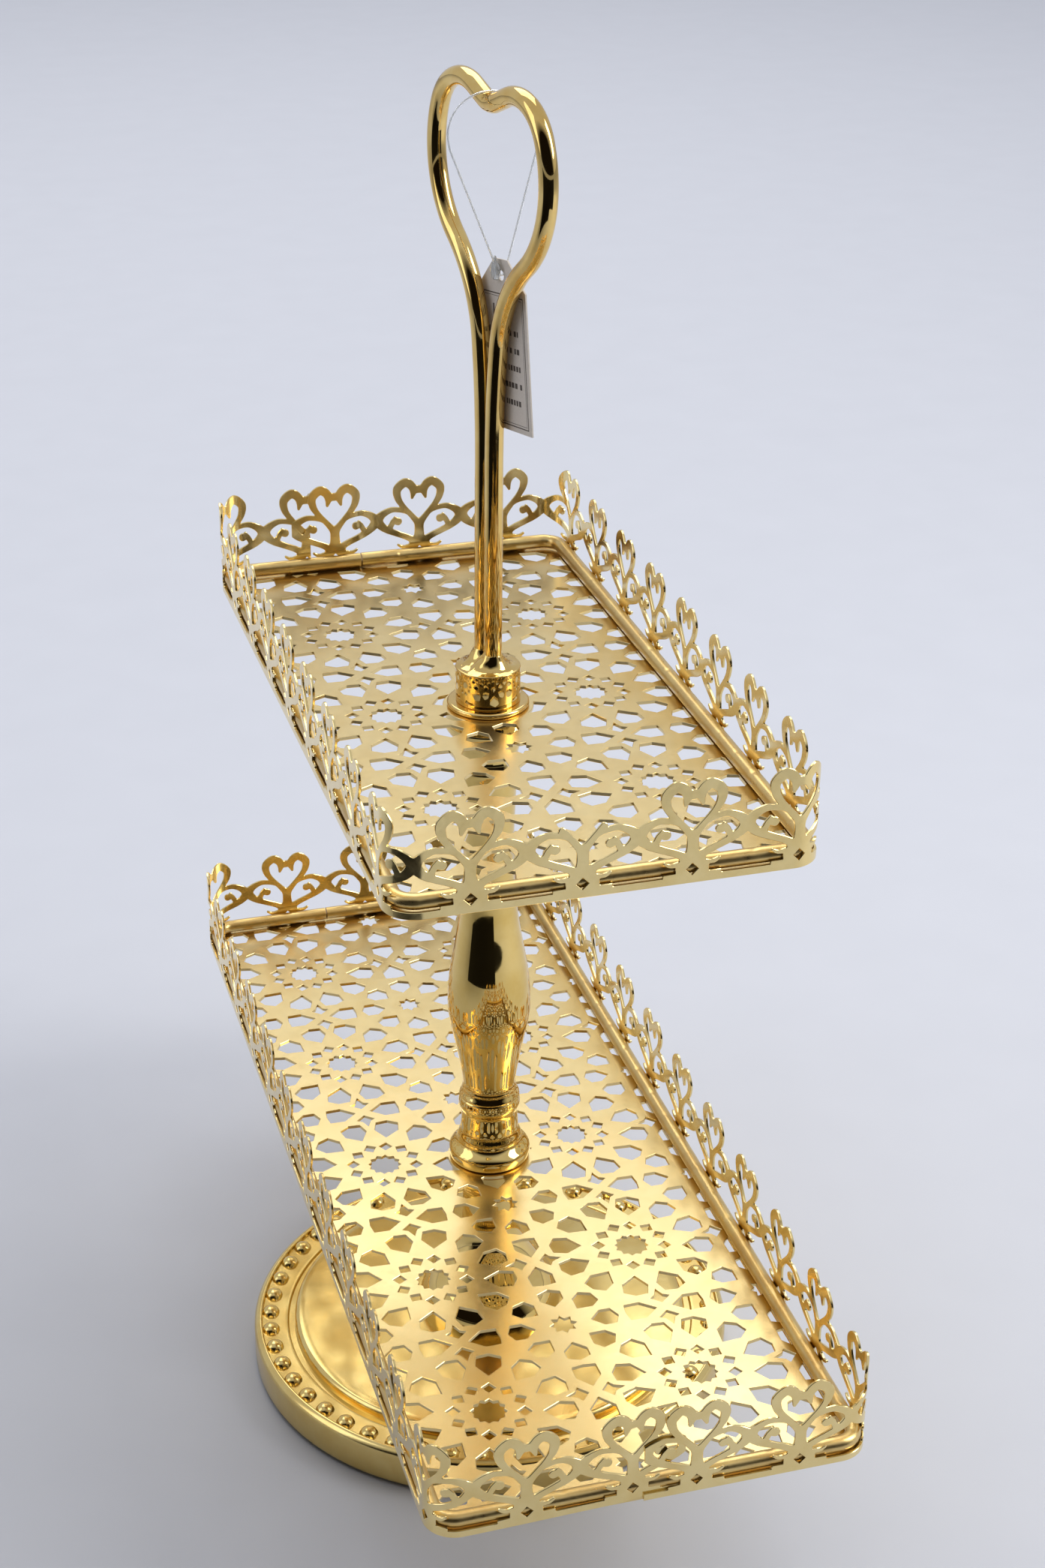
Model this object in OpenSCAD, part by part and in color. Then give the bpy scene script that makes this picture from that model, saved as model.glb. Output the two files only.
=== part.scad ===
// Two-tier rectangular cake stand: round weighted base, turned column,
// two pierced trays with scrollwork galleries, and a screwed-on heart handle.
// Millimetres. +Z up, +X across the short side of the trays, +Y along them.
// Origin: centre of the underside of the base.

/* [Base] */
// Diameter of the base
base_d = 174; // [160:1:190]
// Height of the base's side wall
base_h = 15.5; // [14:0.5:18]
// Number of beads pressed round the base
bead_count = 50; // [40:1:52]
// Diameter of one bead
bead_d = 6; // [4:0.5:6.5]

/* [Lower tray] */
// Width of the lower tray
lower_w = 139.5; // [130:0.5:150]
// Length of the lower tray
lower_l = 373; // [340:1:400]
// Height of the lower tray's underside above the table
lower_z = 82; // [78:0.5:90]
// First motif of the lower gallery, from the middle of the front side
lower_phase = 12.5; // [0:0.5:32]

/* [Upper tray] */
// Width of the upper tray
upper_w = 131.5; // [120:0.5:140]
// Length of the upper tray
upper_l = 266; // [240:1:290]
// Height of the upper tray's underside above the table
upper_z = 259.5; // [255:0.5:270]
// First motif of the upper gallery, from the middle of the front side
upper_phase = 24.1; // [0:0.1:32]

/* [Galleries] */
// Height of a gallery strip
gallery_h = 33; // [30:0.5:36]
// Thickness of a gallery strip
gallery_t = 0.8; // [0.6:0.1:1]
// Length of one scroll motif along the strip
motif_pitch = 32.3; // [31:0.1:34]
// Radius of a tray's corners
corner_r = 10; // [8:0.5:14]
// Diameter of the round rail inside a gallery
rail_d = 5; // [4:0.5:5.5]

/* [Pierced floors] */
// Thickness of a tray floor
floor_t = 1.2; // [1:0.1:1.5]
// Side of one square repeat of the pierced pattern
cell = 69.6; // [68:0.1:72]

/* [Column] */
// Widest radius of the baluster
baluster_r = 14.4; // [13:0.1:15]
// Radius of the cushion at the foot of the column
cushion_r = 14.4; // [13:0.1:15]
// Radius of the tie rod inside the column
core_r = 5; // [4.5:0.1:5.5]

/* [Handle] */
// Diameter of the handle's rod
rod_d = 6; // [5:0.5:6]
// Diameter of the collar that the rods are welded to
collar_d = 21.4; // [19:0.2:24]
// Height of the collar
collar_h = 12.2; // [10:0.2:14]
// Height of the notch between the heart's lobes above the table
notch_z = 457; // [450:1:465]
// Direction of the heart's plane, where the screw thread ends
handle_turn = -75.7; // [-90:0.1:90]
// Lean of the welded heart in its own plane
handle_lean = 0.9; // [0:0.1:1]

/* [Hang tag] */
// Width of the card tag
tag_w = 28; // [20:1:32]
// Length of the card tag
tag_l = 53; // [40:1:60]
// Thickness of the card tag
tag_t = 0.6; // [0.5:0.1:0.8]

/* [Hidden] */
$fn = 64;
gold = "#d9b45f";
deep_gold = "#b98a35";
steel = "#9a9ea3";

base_r = base_d / 2;
sheet_t = 1.2;
pad_t = 1.5;
pad_r = base_r - 4;
pad_hole_r = 16;
weight_z = 4;
weight_h = 6;
weight_r = base_r - 6;
rim_r = 3;
channel_z = base_h - 1.6;
channel_out_r = base_r - 1.9;
channel_in_r = 74.5 / 87 * base_r;
bead_ring_r = 81 / 87 * base_r;
plateau_r = 72 / 87 * base_r;
plateau_z = base_h + 1.3;
crown_r = 34;
crown_z = plateau_z + 1.8;
bolt_r = 3;
bolt_fit = 0.05;
hole_clear = 0.25;
head_r = 5.5;
head_h = 4;
washer_t = 1.5;
head_z = pad_t + 0.5;
washer_z = head_z + head_h;
seat_t = 1.3;
pedestal_z0 = crown_z;
pedestal_z1 = lower_z - seat_t;
column_z0 = lower_z + floor_t;
foot_h = 19.4;
ring_h = 9.9;
cap_h = 24;
column_z1 = upper_z - seat_t;
ring_z = column_z0 + foot_h;
baluster_z = ring_z + ring_h;
cap_z = column_z1 - cap_h;
wall_t = 1.2;
thread_l = 22;
handle_z = upper_z + floor_t;
washer_h = 2;
washer_r = 13.6;
collar_z = handle_z + washer_h;
collar_r = collar_d / 2;
rod_z = collar_z + collar_h;
rod_r = rod_d / 2;
stem_gap = 0.1;
stem_u = rod_r + stem_gap / 2;
stud_z0 = column_z1 - thread_l + 4;
rail_r = rail_d / 2;
rail_in = 3.35;
rail_up = 4.3;
bend_cut = 0.05;
tag_hole_r = 1.6;
tag_hole_down = 5;
loop_foot_r = 1;
weld_h = 2.2;
tag_shoulder = 9;
tag_top_w = 8;
tag_drop = 47.5;
tag_gap = 0.4;
loop_r = 13.5;
loop_wire_r = 0.35;
loop_turn = 60;

// ---- helpers -------------------------------------------------------------

// Points on an arc about c, from angle a0 to a1
function arc(c, r, a0, a1, n = 8) =
    [for (i = [0:n]) c + r * [cos(a0 + (a1 - a0) * i / n), sin(a0 + (a1 - a0) * i / n)]];

// Smooth profile through turning stations [radius, height]
function eased(st, n = 8) = [
    for (k = [0:len(st) - 2], i = [0:n - 1])
        let (t = i / n, w = (1 - cos(180 * t)) / 2)
        [st[k][0] + (st[k + 1][0] - st[k][0]) * w, st[k][1] + (st[k + 1][1] - st[k][1]) * t],
    st[len(st) - 1]
];

// Star-shaped outline with n points
function star(n, r_out, r_in, a0 = 0) =
    [for (i = [0:2 * n - 1]) (i % 2 == 0 ? r_out : r_in) * [cos(a0 + 180 * i / n), sin(a0 + 180 * i / n)]];

// A kite-like hole with mirror symmetry about its own long axis
function kite(half) = concat(
    half,
    [for (i = [len(half) - 2:-1:1]) [half[i][0], -half[i][1]]]
);

module tube(r_out, r_in, h) {
    difference() {
        cylinder(r = r_out, h = h);
        translate([0, 0, -1]) cylinder(r = r_in, h = h + 2);
    }
}

module turned(points, bore_r) {
    lo = min([for (p = points) p[1]]);
    hi = max([for (p = points) p[1]]);
    difference() {
        rotate_extrude() polygon(concat([[0, lo]], points, [[0, hi]]));
        translate([0, 0, lo - 1]) cylinder(r = bore_r, h = hi - lo + 2);
    }
}

module rounded_plate(w, l, r) {
    union() {
        square([w - 2 * r, l], center = true);
        square([w, l - 2 * r], center = true);
        for (x = [-1, 1], y = [-1, 1])
            translate([x * (w / 2 - r), y * (l / 2 - r)]) circle(r = r);
    }
}

// ---- base ----------------------------------------------------------------

shell_outside = concat(
    [[base_r - 1, pad_t], [base_r, pad_t + 1]],
    arc([base_r - rim_r, base_h - rim_r], rim_r, 0, 70),
    [[channel_out_r - 1, base_h - 0.2], [channel_out_r - 1.4, channel_z]],
    [[channel_in_r + 0.6, channel_z], [channel_in_r, channel_z - 1], [channel_in_r - 0.8, channel_z - 1]],
    arc([plateau_r - 2, plateau_z - 2], 2, 0, 80),
    [[crown_r + 20, crown_z - 0.5], [crown_r - 8, crown_z]]
);

module base_shell() {
    // Spun sheet cover: side wall, rounded rim, beaded channel and low dome
    color(gold) difference() {
        union() {
            rotate_extrude() polygon(concat([[0, pad_t]], shell_outside, [[0, crown_z]]));
            for (i = [0:bead_count - 1])
                rotate([0, 0, 360 * i / bead_count])
                    translate([bead_ring_r, 0, channel_z - 0.6])
                        sphere(d = bead_d, $fn = 32);
        }
        translate([0, 0, pad_t - 1]) cylinder(r = base_r - sheet_t, h = weight_z + weight_h - pad_t + 1);
        translate([0, 0, weight_z]) cylinder(r = channel_in_r - 4, h = plateau_z - sheet_t - weight_z);
        cylinder(r = bolt_r + hole_clear, h = crown_z + 1);
    }
}

module base_weight() {
    // Steel disc that keeps the stand from tipping
    color(steel) translate([0, 0, weight_z]) difference() {
        cylinder(r = weight_r, h = weight_h);
        translate([0, 0, -1]) cylinder(r = bolt_r + hole_clear, h = weight_h + 2);
        translate([0, 0, -1]) cylinder(r = head_r + 4, h = washer_z + washer_t - weight_z + 1);
    }
}

module base_pad() {
    // Non-slip ring glued under the weight; it rests on the table
    color("#303030") tube(pad_r, pad_hole_r, weight_z);
}

module base_washer() {
    color(steel) translate([0, 0, washer_z]) tube(head_r + 3, bolt_r + hole_clear, washer_t);
}

module base_bolt() {
    // Hexagon screw from below, through the base, pedestal and lower tray
    color(steel) union() {
        translate([0, 0, head_z]) cylinder(r = head_r, h = head_h, $fn = 6);
        translate([0, 0, head_z]) cylinder(r = bolt_r, h = column_z0 + thread_l - head_z);
    }
}

module pedestal() {
    // Trumpet-shaped spinning between the base and the lower tray
    profile = eased([
        [crown_r - 8, pedestal_z0], [crown_r - 8, pedestal_z0 + 0.8], [10, pedestal_z0 + 38],
        [9.6, pedestal_z1 - 12], [13.5, pedestal_z1 - 4], [13.5, pedestal_z1]
    ], 8);
    color(gold) difference() {
        turned(profile, bolt_r + hole_clear);
        translate([0, 0, pedestal_z0 - 1]) cylinder(r = 8, h = pedestal_z1 - pedestal_z0 - 2);
    }
}

module seat_washer(z) {
    translate([0, 0, z]) tube(12.5, bolt_r + hole_clear, seat_t);
}

module lower_seat_washer() {
    color(deep_gold) seat_washer(pedestal_z1);
}

module upper_seat_washer() {
    color(deep_gold) seat_washer(column_z1);
}

// ---- column --------------------------------------------------------------

module column_foot() {
    // Cushion and neck that stand on the lower tray
    color(gold) turned(concat(
        [[cushion_r - 1.4, column_z0]],
        eased([[cushion_r, column_z0 + 3.8], [11.2, column_z0 + 9], [10.2, column_z0 + 12.5],
            [10.5, column_z0 + foot_h - 1.6], [10, column_z0 + foot_h]], 6)
    ), core_r + bolt_fit);
}

module column_ring() {
    // Half-round collar ring between the neck and the baluster
    color(gold) turned(eased([
        [10, ring_z], [10.9, ring_z + ring_h / 2], [10, ring_z + ring_h]
    ], 8), core_r + bolt_fit);
}

module column_baluster() {
    // Hollow spun baluster
    out = [
        [9.9, baluster_z], [9.8, baluster_z + 2], [baluster_r, baluster_z + 36],
        [10.1, baluster_z + 68], [8.6, baluster_z + 94], [9.6, cap_z]
    ];
    inner = [for (p = out) [p[0] - wall_t, p[1]]];
    color(gold) difference() {
        rotate_extrude() polygon(concat([[0, baluster_z]], eased(out, 10), [[0, cap_z]]));
        rotate_extrude() polygon(concat([[0, baluster_z]], eased(inner, 10), [[0, cap_z]]));
    }
}

module column_cap() {
    // Ring and cushion under the upper tray, the foot's mirror image
    color(gold) turned(eased([
        [10, cap_z], [10.9, cap_z + 4.5], [10, cap_z + 9], [10.6, cap_z + 13],
        [cushion_r, cap_z + cap_h - 4], [cushion_r - 1.4, cap_z + cap_h]
    ], 6), core_r + bolt_fit);
}

module column_core() {
    // Steel tie rod, tapped at both ends
    color(steel) difference() {
        translate([0, 0, column_z0]) cylinder(r = core_r, h = column_z1 - column_z0);
        translate([0, 0, column_z0 - 1]) cylinder(r = bolt_r + bolt_fit, h = thread_l + 3);
        translate([0, 0, column_z1 - thread_l - 1]) cylinder(r = bolt_r + bolt_fit, h = thread_l + 2);
    }
}

// ---- pierced floors ------------------------------------------------------

petal = kite([[17.1, 0], [22, 4.3], [26.8, 4], [28.2, 0]]);
dart = kite([[9.6, 0], [6.3, 1.5], [5.2, 3.4], [2.2, 0]]);
shield = kite([[2.7, 0], [7.7, 4.2], [13, 4], [13.5, 0]]);
leaf = kite([[9.5, 0], [13.3, 3.9], [17.2, 3.9], [19, 0]]);

module rosette() {
    polygon(star(12, 5.9, 4.9, 15));
    for (k = [0:11]) rotate(15 + 30 * k) {
        translate([11.3, 0]) rotate(45) square(3.4, center = true);
        polygon(petal);
    }
}

module cell_star() {
    polygon(star(8, 4.6, 3.1));
    for (k = [0:7]) rotate(45 * k) polygon(leaf);
}

module cell_edge() {
    for (s = [0, 180]) rotate(s) {
        polygon(dart);
        rotate(90) polygon(shield);
    }
}

// One floor: a rounded plate pierced by the repeating star pattern
module pierced_floor(w, l, off_x, off_y) {
    k = cell / 70;
    half = [w / 2 + cell, l / 2 + cell];
    nx = ceil(half[0] / cell);
    ny = ceil(half[1] / cell);
    keep_r = 15;
    linear_extrude(floor_t) difference() {
        rounded_plate(w, l, corner_r - gallery_t);
        difference() {
            intersection() {
                for (i = [-nx:nx], j = [-ny:ny])
                    translate([off_x + i * cell, off_y + j * cell]) {
                        translate([cell / 2, 0]) scale(k) rosette();
                        translate([0, cell / 2]) scale(k) cell_star();
                        scale(k) cell_edge();
                        translate([cell / 2, cell / 2]) rotate(90) scale(k) cell_edge();
                    }
                rounded_plate(w - 8, l - 8, corner_r - 3);
            }
            circle(r = keep_r);
        }
        circle(r = bolt_r + hole_clear);
    }
}

module lower_floor() {
    inset = 2 * gallery_t + 0.1;
    color("#cfae6c") translate([0, 0, lower_z])
        pierced_floor(lower_w - inset, lower_l - inset, -3, 3.4);
}

module upper_floor() {
    inset = 2 * gallery_t + 0.1;
    color("#cfae6c") translate([0, 0, upper_z])
        pierced_floor(upper_w - inset, upper_l - inset, 0.5, 0);
}

// ---- galleries -----------------------------------------------------------

module ring2d(x, y, r_out, r_in) {
    translate([x, y]) difference() {
        circle(r = r_out, $fn = 32);
        circle(r = r_in, $fn = 32);
    }
}

module bar2d(a, b, w) {
    d = b - a;
    len_ab = norm(d);
    translate(a) rotate(atan2(d[1], d[0])) translate([0, -w / 2]) square([len_ab, w]);
}

// One motif: plinth with a diamond hole, stem, heart and two side scrolls
module motif() {
    difference() {
        polygon([[-7, 2], [7, 2], [6.6, 5], [7.6, 6.6], [2.4, 6.6], [2.2, 11],
            [-2.2, 11], [-2.4, 6.6], [-7.6, 6.6], [-6.6, 5]]);
        translate([0, 4.3]) rotate(45) square(2.2, center = true);
    }
    for (s = [-1, 1]) {
        bar2d([0, 9.5], [s * 9.6, 23.8], 2.7);
        ring2d(s * 5.2, 27.1, 5.9, 3.3);
        bar2d([0, 8.2], [s * 12.4, 13.6], 2.5);
        ring2d(s * 11.6, 17.3, 4.62, 2.1);
    }
}

// Where a distance s along the tray's outside edge falls, counted from the
// middle of the front side towards +X: [x, y, direction]
function edge_place(w, l, s) =
    let (a = w / 2 - corner_r, b = l - 2 * corner_r, q = corner_r * PI / 2,
        per = 4 * a + 2 * b + 4 * q, t = s - per * floor(s / per))
    t < a ? [t, -l / 2, 0]
    : t < a + q ? edge_bend([a, -l / 2 + corner_r], t - a, 0)
    : t < a + q + b ? [w / 2, -l / 2 + corner_r + t - a - q, 90]
    : t < a + 2 * q + b ? edge_bend([a, l / 2 - corner_r], t - a - q - b, 90)
    : t < 3 * a + 2 * q + b ? [a - (t - a - 2 * q - b), l / 2, 180]
    : t < 3 * a + 3 * q + b ? edge_bend([-a, l / 2 - corner_r], t - 3 * a - 2 * q - b, 180)
    : t < 3 * a + 3 * q + 2 * b ? [-w / 2, l / 2 - corner_r - (t - 3 * a - 3 * q - b), 270]
    : t < 3 * a + 4 * q + 2 * b ? edge_bend([-a, -l / 2 + corner_r], t - 3 * a - 3 * q - 2 * b, 270)
    : [t - per, -l / 2, 0];

function edge_bend(c, t, a0) =
    let (a = t / corner_r * 180 / PI + a0 - 90)
    [c[0] + corner_r * cos(a), c[1] + corner_r * sin(a), a + 90];

// The strip before piercing: 4 straight runs and 4 bends, cut apart by hairlines
module strip_body(w, l) {
    a = w / 2 - corner_r;
    b = l / 2 - corner_r;
    for (s = [-1, 1]) {
        translate([-a + bend_cut, s * (l / 2 - gallery_t / 2) - gallery_t / 2, 0])
            cube([2 * a - 2 * bend_cut, gallery_t, gallery_h]);
        translate([s * (w / 2 - gallery_t / 2) - gallery_t / 2, -b + bend_cut, 0])
            cube([gallery_t, 2 * b - 2 * bend_cut, gallery_h]);
        for (t = [-1, 1])
            translate([s * a, t * b, 0])
                rotate([0, 0, s > 0 ? (t > 0 ? 0 : -90) : (t > 0 ? 90 : 180)])
                    rotate_extrude(angle = 90)
                        translate([corner_r - gallery_t, 0]) square([gallery_t, gallery_h]);
    }
}

module gallery(w, l, phase) {
    per = 2 * (w + l) - 8 * corner_r + 2 * PI * corner_r;
    count = floor(per / motif_pitch);
    intersection() {
        strip_body(w, l);
        union() {
            translate([-w / 2 - 1, -l / 2 - 1, 0]) cube([w + 2, l + 2, 2.3]);
            for (k = [0:count - 1]) {
                p = edge_place(w, l, phase + k * per / count);
                translate([p[0], p[1], 0]) rotate([0, 0, p[2]])
                    translate([0, corner_r - 1, 0]) rotate([90, 0, 0])
                        linear_extrude(corner_r) motif();
            }
        }
    }
}

module lower_gallery() {
    color("#d6c27a") translate([0, 0, lower_z]) gallery(lower_w, lower_l, lower_phase);
}

module upper_gallery() {
    color("#d6c27a") translate([0, 0, upper_z]) gallery(upper_w, upper_l, upper_phase);
}

// Round wire rail bent to a rounded rectangle
module rail(w, l) {
    a = w / 2 - corner_r;
    b = l / 2 - corner_r;
    bend_r = corner_r - rail_in;
    union() {
        for (s = [-1, 1]) {
            translate([s * (a + bend_r), -b, 0]) rotate([-90, 0, 0]) cylinder(r = rail_r, h = 2 * b);
            translate([-a, s * (b + bend_r), 0]) rotate([0, 90, 0]) cylinder(r = rail_r, h = 2 * a);
            for (t = [-1, 1])
                translate([s * a, t * b, 0])
                    rotate([0, 0, s > 0 ? (t > 0 ? 0 : -90) : (t > 0 ? 90 : 180)])
                        rotate_extrude(angle = 90) translate([bend_r, 0]) circle(r = rail_r);
        }
    }
}

module lower_rail() {
    color(deep_gold) translate([0, 0, lower_z + rail_up]) rail(lower_w, lower_l);
}

module upper_rail() {
    color(deep_gold) translate([0, 0, upper_z + rail_up]) rail(upper_w, upper_l);
}

// ---- handle --------------------------------------------------------------

// The heart half, from the notch outwards and down: [radius or length, turn]
heart_runs = [
    [8, 23], [7.1, 0], [16.15, -89.75], [34, -73.25], [0, 0], [45, 42.9], [300, 7.1]
];

function run_end(p, h, run) =
    run[1] == 0 ? p + run[0] * [cos(h), sin(h)]
    : run[1] > 0 ? p + run[0] * ([-sin(h), cos(h)] + [sin(h + run[1]), -cos(h + run[1])])
    : p + run[0] * ([sin(h), -cos(h)] + [-sin(h + run[1]), cos(h + run[1])]);

// Start point and heading of every run
function run_starts(runs, i = 0, p = [0, 0], h = 0) =
    i >= len(runs) ? [[p, h]]
    : concat([[p, h]], run_starts(runs, i + 1, run_end(p, h, runs[i]), h + runs[i][1]));

open_starts = run_starts(heart_runs);
open_end = open_starts[len(heart_runs)][0];
straight_h = open_starts[4][1];
// The slanting straight is as long as it takes to bring the stem to stem_u
slant = (stem_u - open_end[0]) / cos(straight_h);
closed_runs = [for (i = [0:len(heart_runs) - 1]) i == 4 ? [slant, 0] : heart_runs[i]];
starts = run_starts(closed_runs);
stem_top = starts[len(closed_runs)][0];
stem_foot = [stem_top[0], rod_z - notch_z, -90];

// Stations [x, y, heading] along one run, a step for every 6 degrees of bend
function run_stations(p, h, run) =
    let (n = run[1] == 0 ? 1 : ceil(abs(run[1]) / 6))
    [for (j = [0:n - 1])
        let (q = j == 0 ? p : run_end(p, h, [run[0], run[1] * j / n]))
        [q[0], q[1], h + run[1] * j / n]];

half_path = concat(
    [for (i = [0:len(closed_runs) - 1], q = run_stations(starts[i][0], starts[i][1], closed_runs[i])) q],
    [[stem_top[0], stem_top[1], -90], stem_foot]
);
heart_path = concat(
    [for (i = [len(half_path) - 1:-1:1]) [-half_path[i][0], half_path[i][1], -half_path[i][2]]],
    half_path
);

// A round bar of n sides along a flat path of stations; a closed path joins up
module swept(path, r, n, closed = false) {
    m = len(path);
    spans = closed ? m : m - 1;
    points = [for (s = path, k = [0:n - 1])
        let (a = 360 * k / n)
        [s[0] - sin(s[2]) * r * cos(a), s[1] + cos(s[2]) * r * cos(a), r * sin(a)]];
    sides = [for (i = [0:spans - 1], k = [0:n - 1], t = [0, 1])
        let (i2 = (i + 1) % m, k2 = (k + 1) % n)
        t == 0 ? [i * n + k, i2 * n + k, i2 * n + k2] : [i * n + k, i2 * n + k2, i * n + k2]];
    caps = closed ? [] : [[for (k = [0:n - 1]) k], [for (k = [n - 1:-1:0]) (m - 1) * n + k]];
    polyhedron(points = points, faces = concat(sides, caps));
}

// Local frame of the heart: X in its plane, Y behind it, origin at the notch
module heart_frame() {
    rotate([0, 0, handle_turn]) translate([0, 0, rod_z]) rotate([0, handle_lean, 0])
        translate([0, 0, notch_z - rod_z]) children();
}

module handle_washer() {
    color(gold) rotate_extrude() polygon(concat(
        [[bolt_r + hole_clear, handle_z]],
        arc([washer_r - 1, handle_z + 1], 1, -90, 90, 8),
        [[bolt_r + hole_clear, handle_z + washer_h]]
    ));
}

module handle_collar() {
    // Turned boss tapped for the stud, with the weld metal heaped on its top
    color(gold) difference() {
        rotate_extrude() polygon([
            [0, collar_z], [collar_r - 0.6, collar_z], [collar_r, collar_z + 0.6],
            [collar_r, rod_z - 0.8], [collar_r - 1.2, rod_z], [5, rod_z + weld_h], [0, rod_z + weld_h]
        ]);
        translate([0, 0, collar_z - 1]) cylinder(r = bolt_r, h = collar_h + 1);
    }
}

module handle_stud() {
    // Threaded stud from the collar into the top of the column's tie rod
    color(steel) translate([0, 0, stud_z0]) cylinder(r = bolt_r, h = rod_z - stud_z0);
}

module handle_rod() {
    // Heart bent from one rod, its two ends welded to the collar
    color(gold) heart_frame() rotate([90, 0, 0]) swept(heart_path, rod_r, 20);
}

// ---- hang tag ------------------------------------------------------------

module tag_card() {
    color("#a49a8e") heart_frame() rotate([0, -handle_lean, 0])
        translate([0, rod_r + tag_gap, -tag_drop]) rotate([-90, 0, 0])
            linear_extrude(tag_t) difference() {
                polygon([[-tag_top_w / 2, 0], [tag_top_w / 2, 0], [tag_w / 2, tag_shoulder],
                    [tag_w / 2, tag_l], [-tag_w / 2, tag_l], [-tag_w / 2, tag_shoulder]]);
                translate([0, tag_hole_down]) circle(r = tag_hole_r);
            }
}

// Local frame of the hanging tag: origin at the notch, Z up, tilted behind the rods
module tag_frame() {
    swing = atan((rod_r + tag_gap + tag_t / 2) / (tag_drop + tag_hole_down));
    heart_frame() rotate([0, -handle_lean, 0]) rotate([swing, 0, 0])
        rotate([0, 0, loop_turn]) children();
}

module tag_loop() {
    // Clear nylon loop: over the notch and down through the card's hole
    top = rod_r + loop_wire_r + 0.05;
    fall = top + tag_drop + tag_hole_down - loop_foot_r;
    slope = asin((loop_r - loop_foot_r) / (fall - loop_r));
    big = [for (a = [-slope:(180 + 2 * slope) / 30:180 + slope + 0.01])
        [loop_r * cos(a), top - loop_r + loop_r * sin(a), a + 90]];
    small = [for (a = [180 + slope:(180 - 2 * slope) / 6:360 - slope + 0.01])
        [loop_foot_r * cos(a), top - fall + loop_foot_r * sin(a), a + 90]];
    color("#e8eef0") tag_frame() rotate([90, 0, 0])
        swept(concat(big, small), loop_wire_r, 8, closed = true);
}

module tag_lock() {
    // Moulded head that the loop's end snaps into
    color("#e8eef0") tag_frame() translate([-2.2, 0, 3.5 - tag_drop - tag_hole_down]) rotate([0, 20, 0])
        cylinder(r = 1.1, h = 3.2);
}

base_shell();
base_weight();
base_pad();
base_washer();
base_bolt();
pedestal();
lower_seat_washer();
column_foot();
column_ring();
column_baluster();
column_cap();
column_core();
upper_seat_washer();
lower_floor();
lower_gallery();
lower_rail();
upper_floor();
upper_gallery();
upper_rail();
handle_washer();
handle_collar();
handle_stud();
handle_rod();
tag_card();
tag_loop();
tag_lock();
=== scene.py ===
# %% [markdown]
# # A two-tier cake stand in gold-plated metal
# The real stand is a spun base, a turned column, two pierced trays edged with stamped scrollwork, and a
# heart bent from one rod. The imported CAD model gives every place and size; this script gives each part
# its final surface.

# %% Load the fixed frame
import math
import random

import bmesh
import bpy
import numpy as np
from mathutils import Matrix, Vector
from mathutils.geometry import delaunay_2d_cdt


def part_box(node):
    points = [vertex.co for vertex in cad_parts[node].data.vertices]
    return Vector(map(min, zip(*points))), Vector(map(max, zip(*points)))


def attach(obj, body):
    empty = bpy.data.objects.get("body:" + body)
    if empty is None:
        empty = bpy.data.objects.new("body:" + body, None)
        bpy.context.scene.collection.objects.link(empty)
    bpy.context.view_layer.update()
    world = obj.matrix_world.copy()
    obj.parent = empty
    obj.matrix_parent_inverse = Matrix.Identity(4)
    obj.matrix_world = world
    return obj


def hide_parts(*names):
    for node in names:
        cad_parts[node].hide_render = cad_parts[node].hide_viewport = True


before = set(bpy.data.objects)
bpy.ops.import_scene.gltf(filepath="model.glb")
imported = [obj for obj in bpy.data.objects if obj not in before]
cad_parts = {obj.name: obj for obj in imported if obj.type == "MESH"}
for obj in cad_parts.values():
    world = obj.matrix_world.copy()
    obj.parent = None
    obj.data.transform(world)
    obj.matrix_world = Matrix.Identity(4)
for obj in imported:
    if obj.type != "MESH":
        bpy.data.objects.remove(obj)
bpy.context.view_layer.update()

MM = 0.001
scene = bpy.context.scene


def span(node):
    """Lowest and highest corner of a CAD node in millimetres."""
    low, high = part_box(node)
    return np.array(low) / MM, np.array(high) / MM


base_low, base_high = span("base_shell")
base_r = base_high[0]
print("base radius", round(base_r, 1), "mm, crown at", round(base_high[2], 1), "mm")

# %% [markdown]
# ## Colours and nodes
# A colour is written as a paint chip would be, in sRGB hex, and one function turns it to the linear
# values that the shader works in. A second small function adds a node with its settings and links, so
# each finish reads as a list of what feeds what.

# %% Colour and node helpers
def linear(code):
    """Linear RGBA of an sRGB hex colour."""
    parts = [int(code[i:i + 2], 16) / 255 for i in (1, 3, 5)]
    return [c / 12.92 if c <= 0.04045 else ((c + 0.055) / 1.055) ** 2.4 for c in parts] + [1]


def node(tree, kind, settings=None, **links):
    """Adds a node. Settings go on the node; each link is a value or an output for the socket of that name,
    or of that number, as in i0, where several sockets share a name."""
    made = tree.nodes.new(kind)
    for key, value in (settings or {}).items():
        setattr(made, key, value)
    for key, value in links.items():
        names = {s.name.replace(" ", "_"): s for s in reversed(made.inputs)}
        socket = made.inputs[int(key[1:])] if key[0] == "i" and key[1:].isdigit() else names[key]
        if isinstance(value, bpy.types.NodeSocket):
            tree.links.new(value, socket)
        else:
            socket.default_value = value
    return made


def new_finish(name):
    """A material with its node tree, its shader and its object coordinates."""
    finish = bpy.data.materials.new(name)
    finish.use_nodes = True
    tree = finish.node_tree
    shader = tree.nodes["Principled BSDF"]
    place = node(tree, "ShaderNodeTexCoord").outputs["Object"]
    return finish, tree, shader, place


def blend_colour(tree, share, low, high):
    """Mixes two hex colours by a share socket."""
    ramp = node(tree, "ShaderNodeValToRGB", i0=share)
    ramp.color_ramp.elements[0].color = linear(low)
    ramp.color_ramp.elements[1].color = linear(high)
    return ramp


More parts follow.
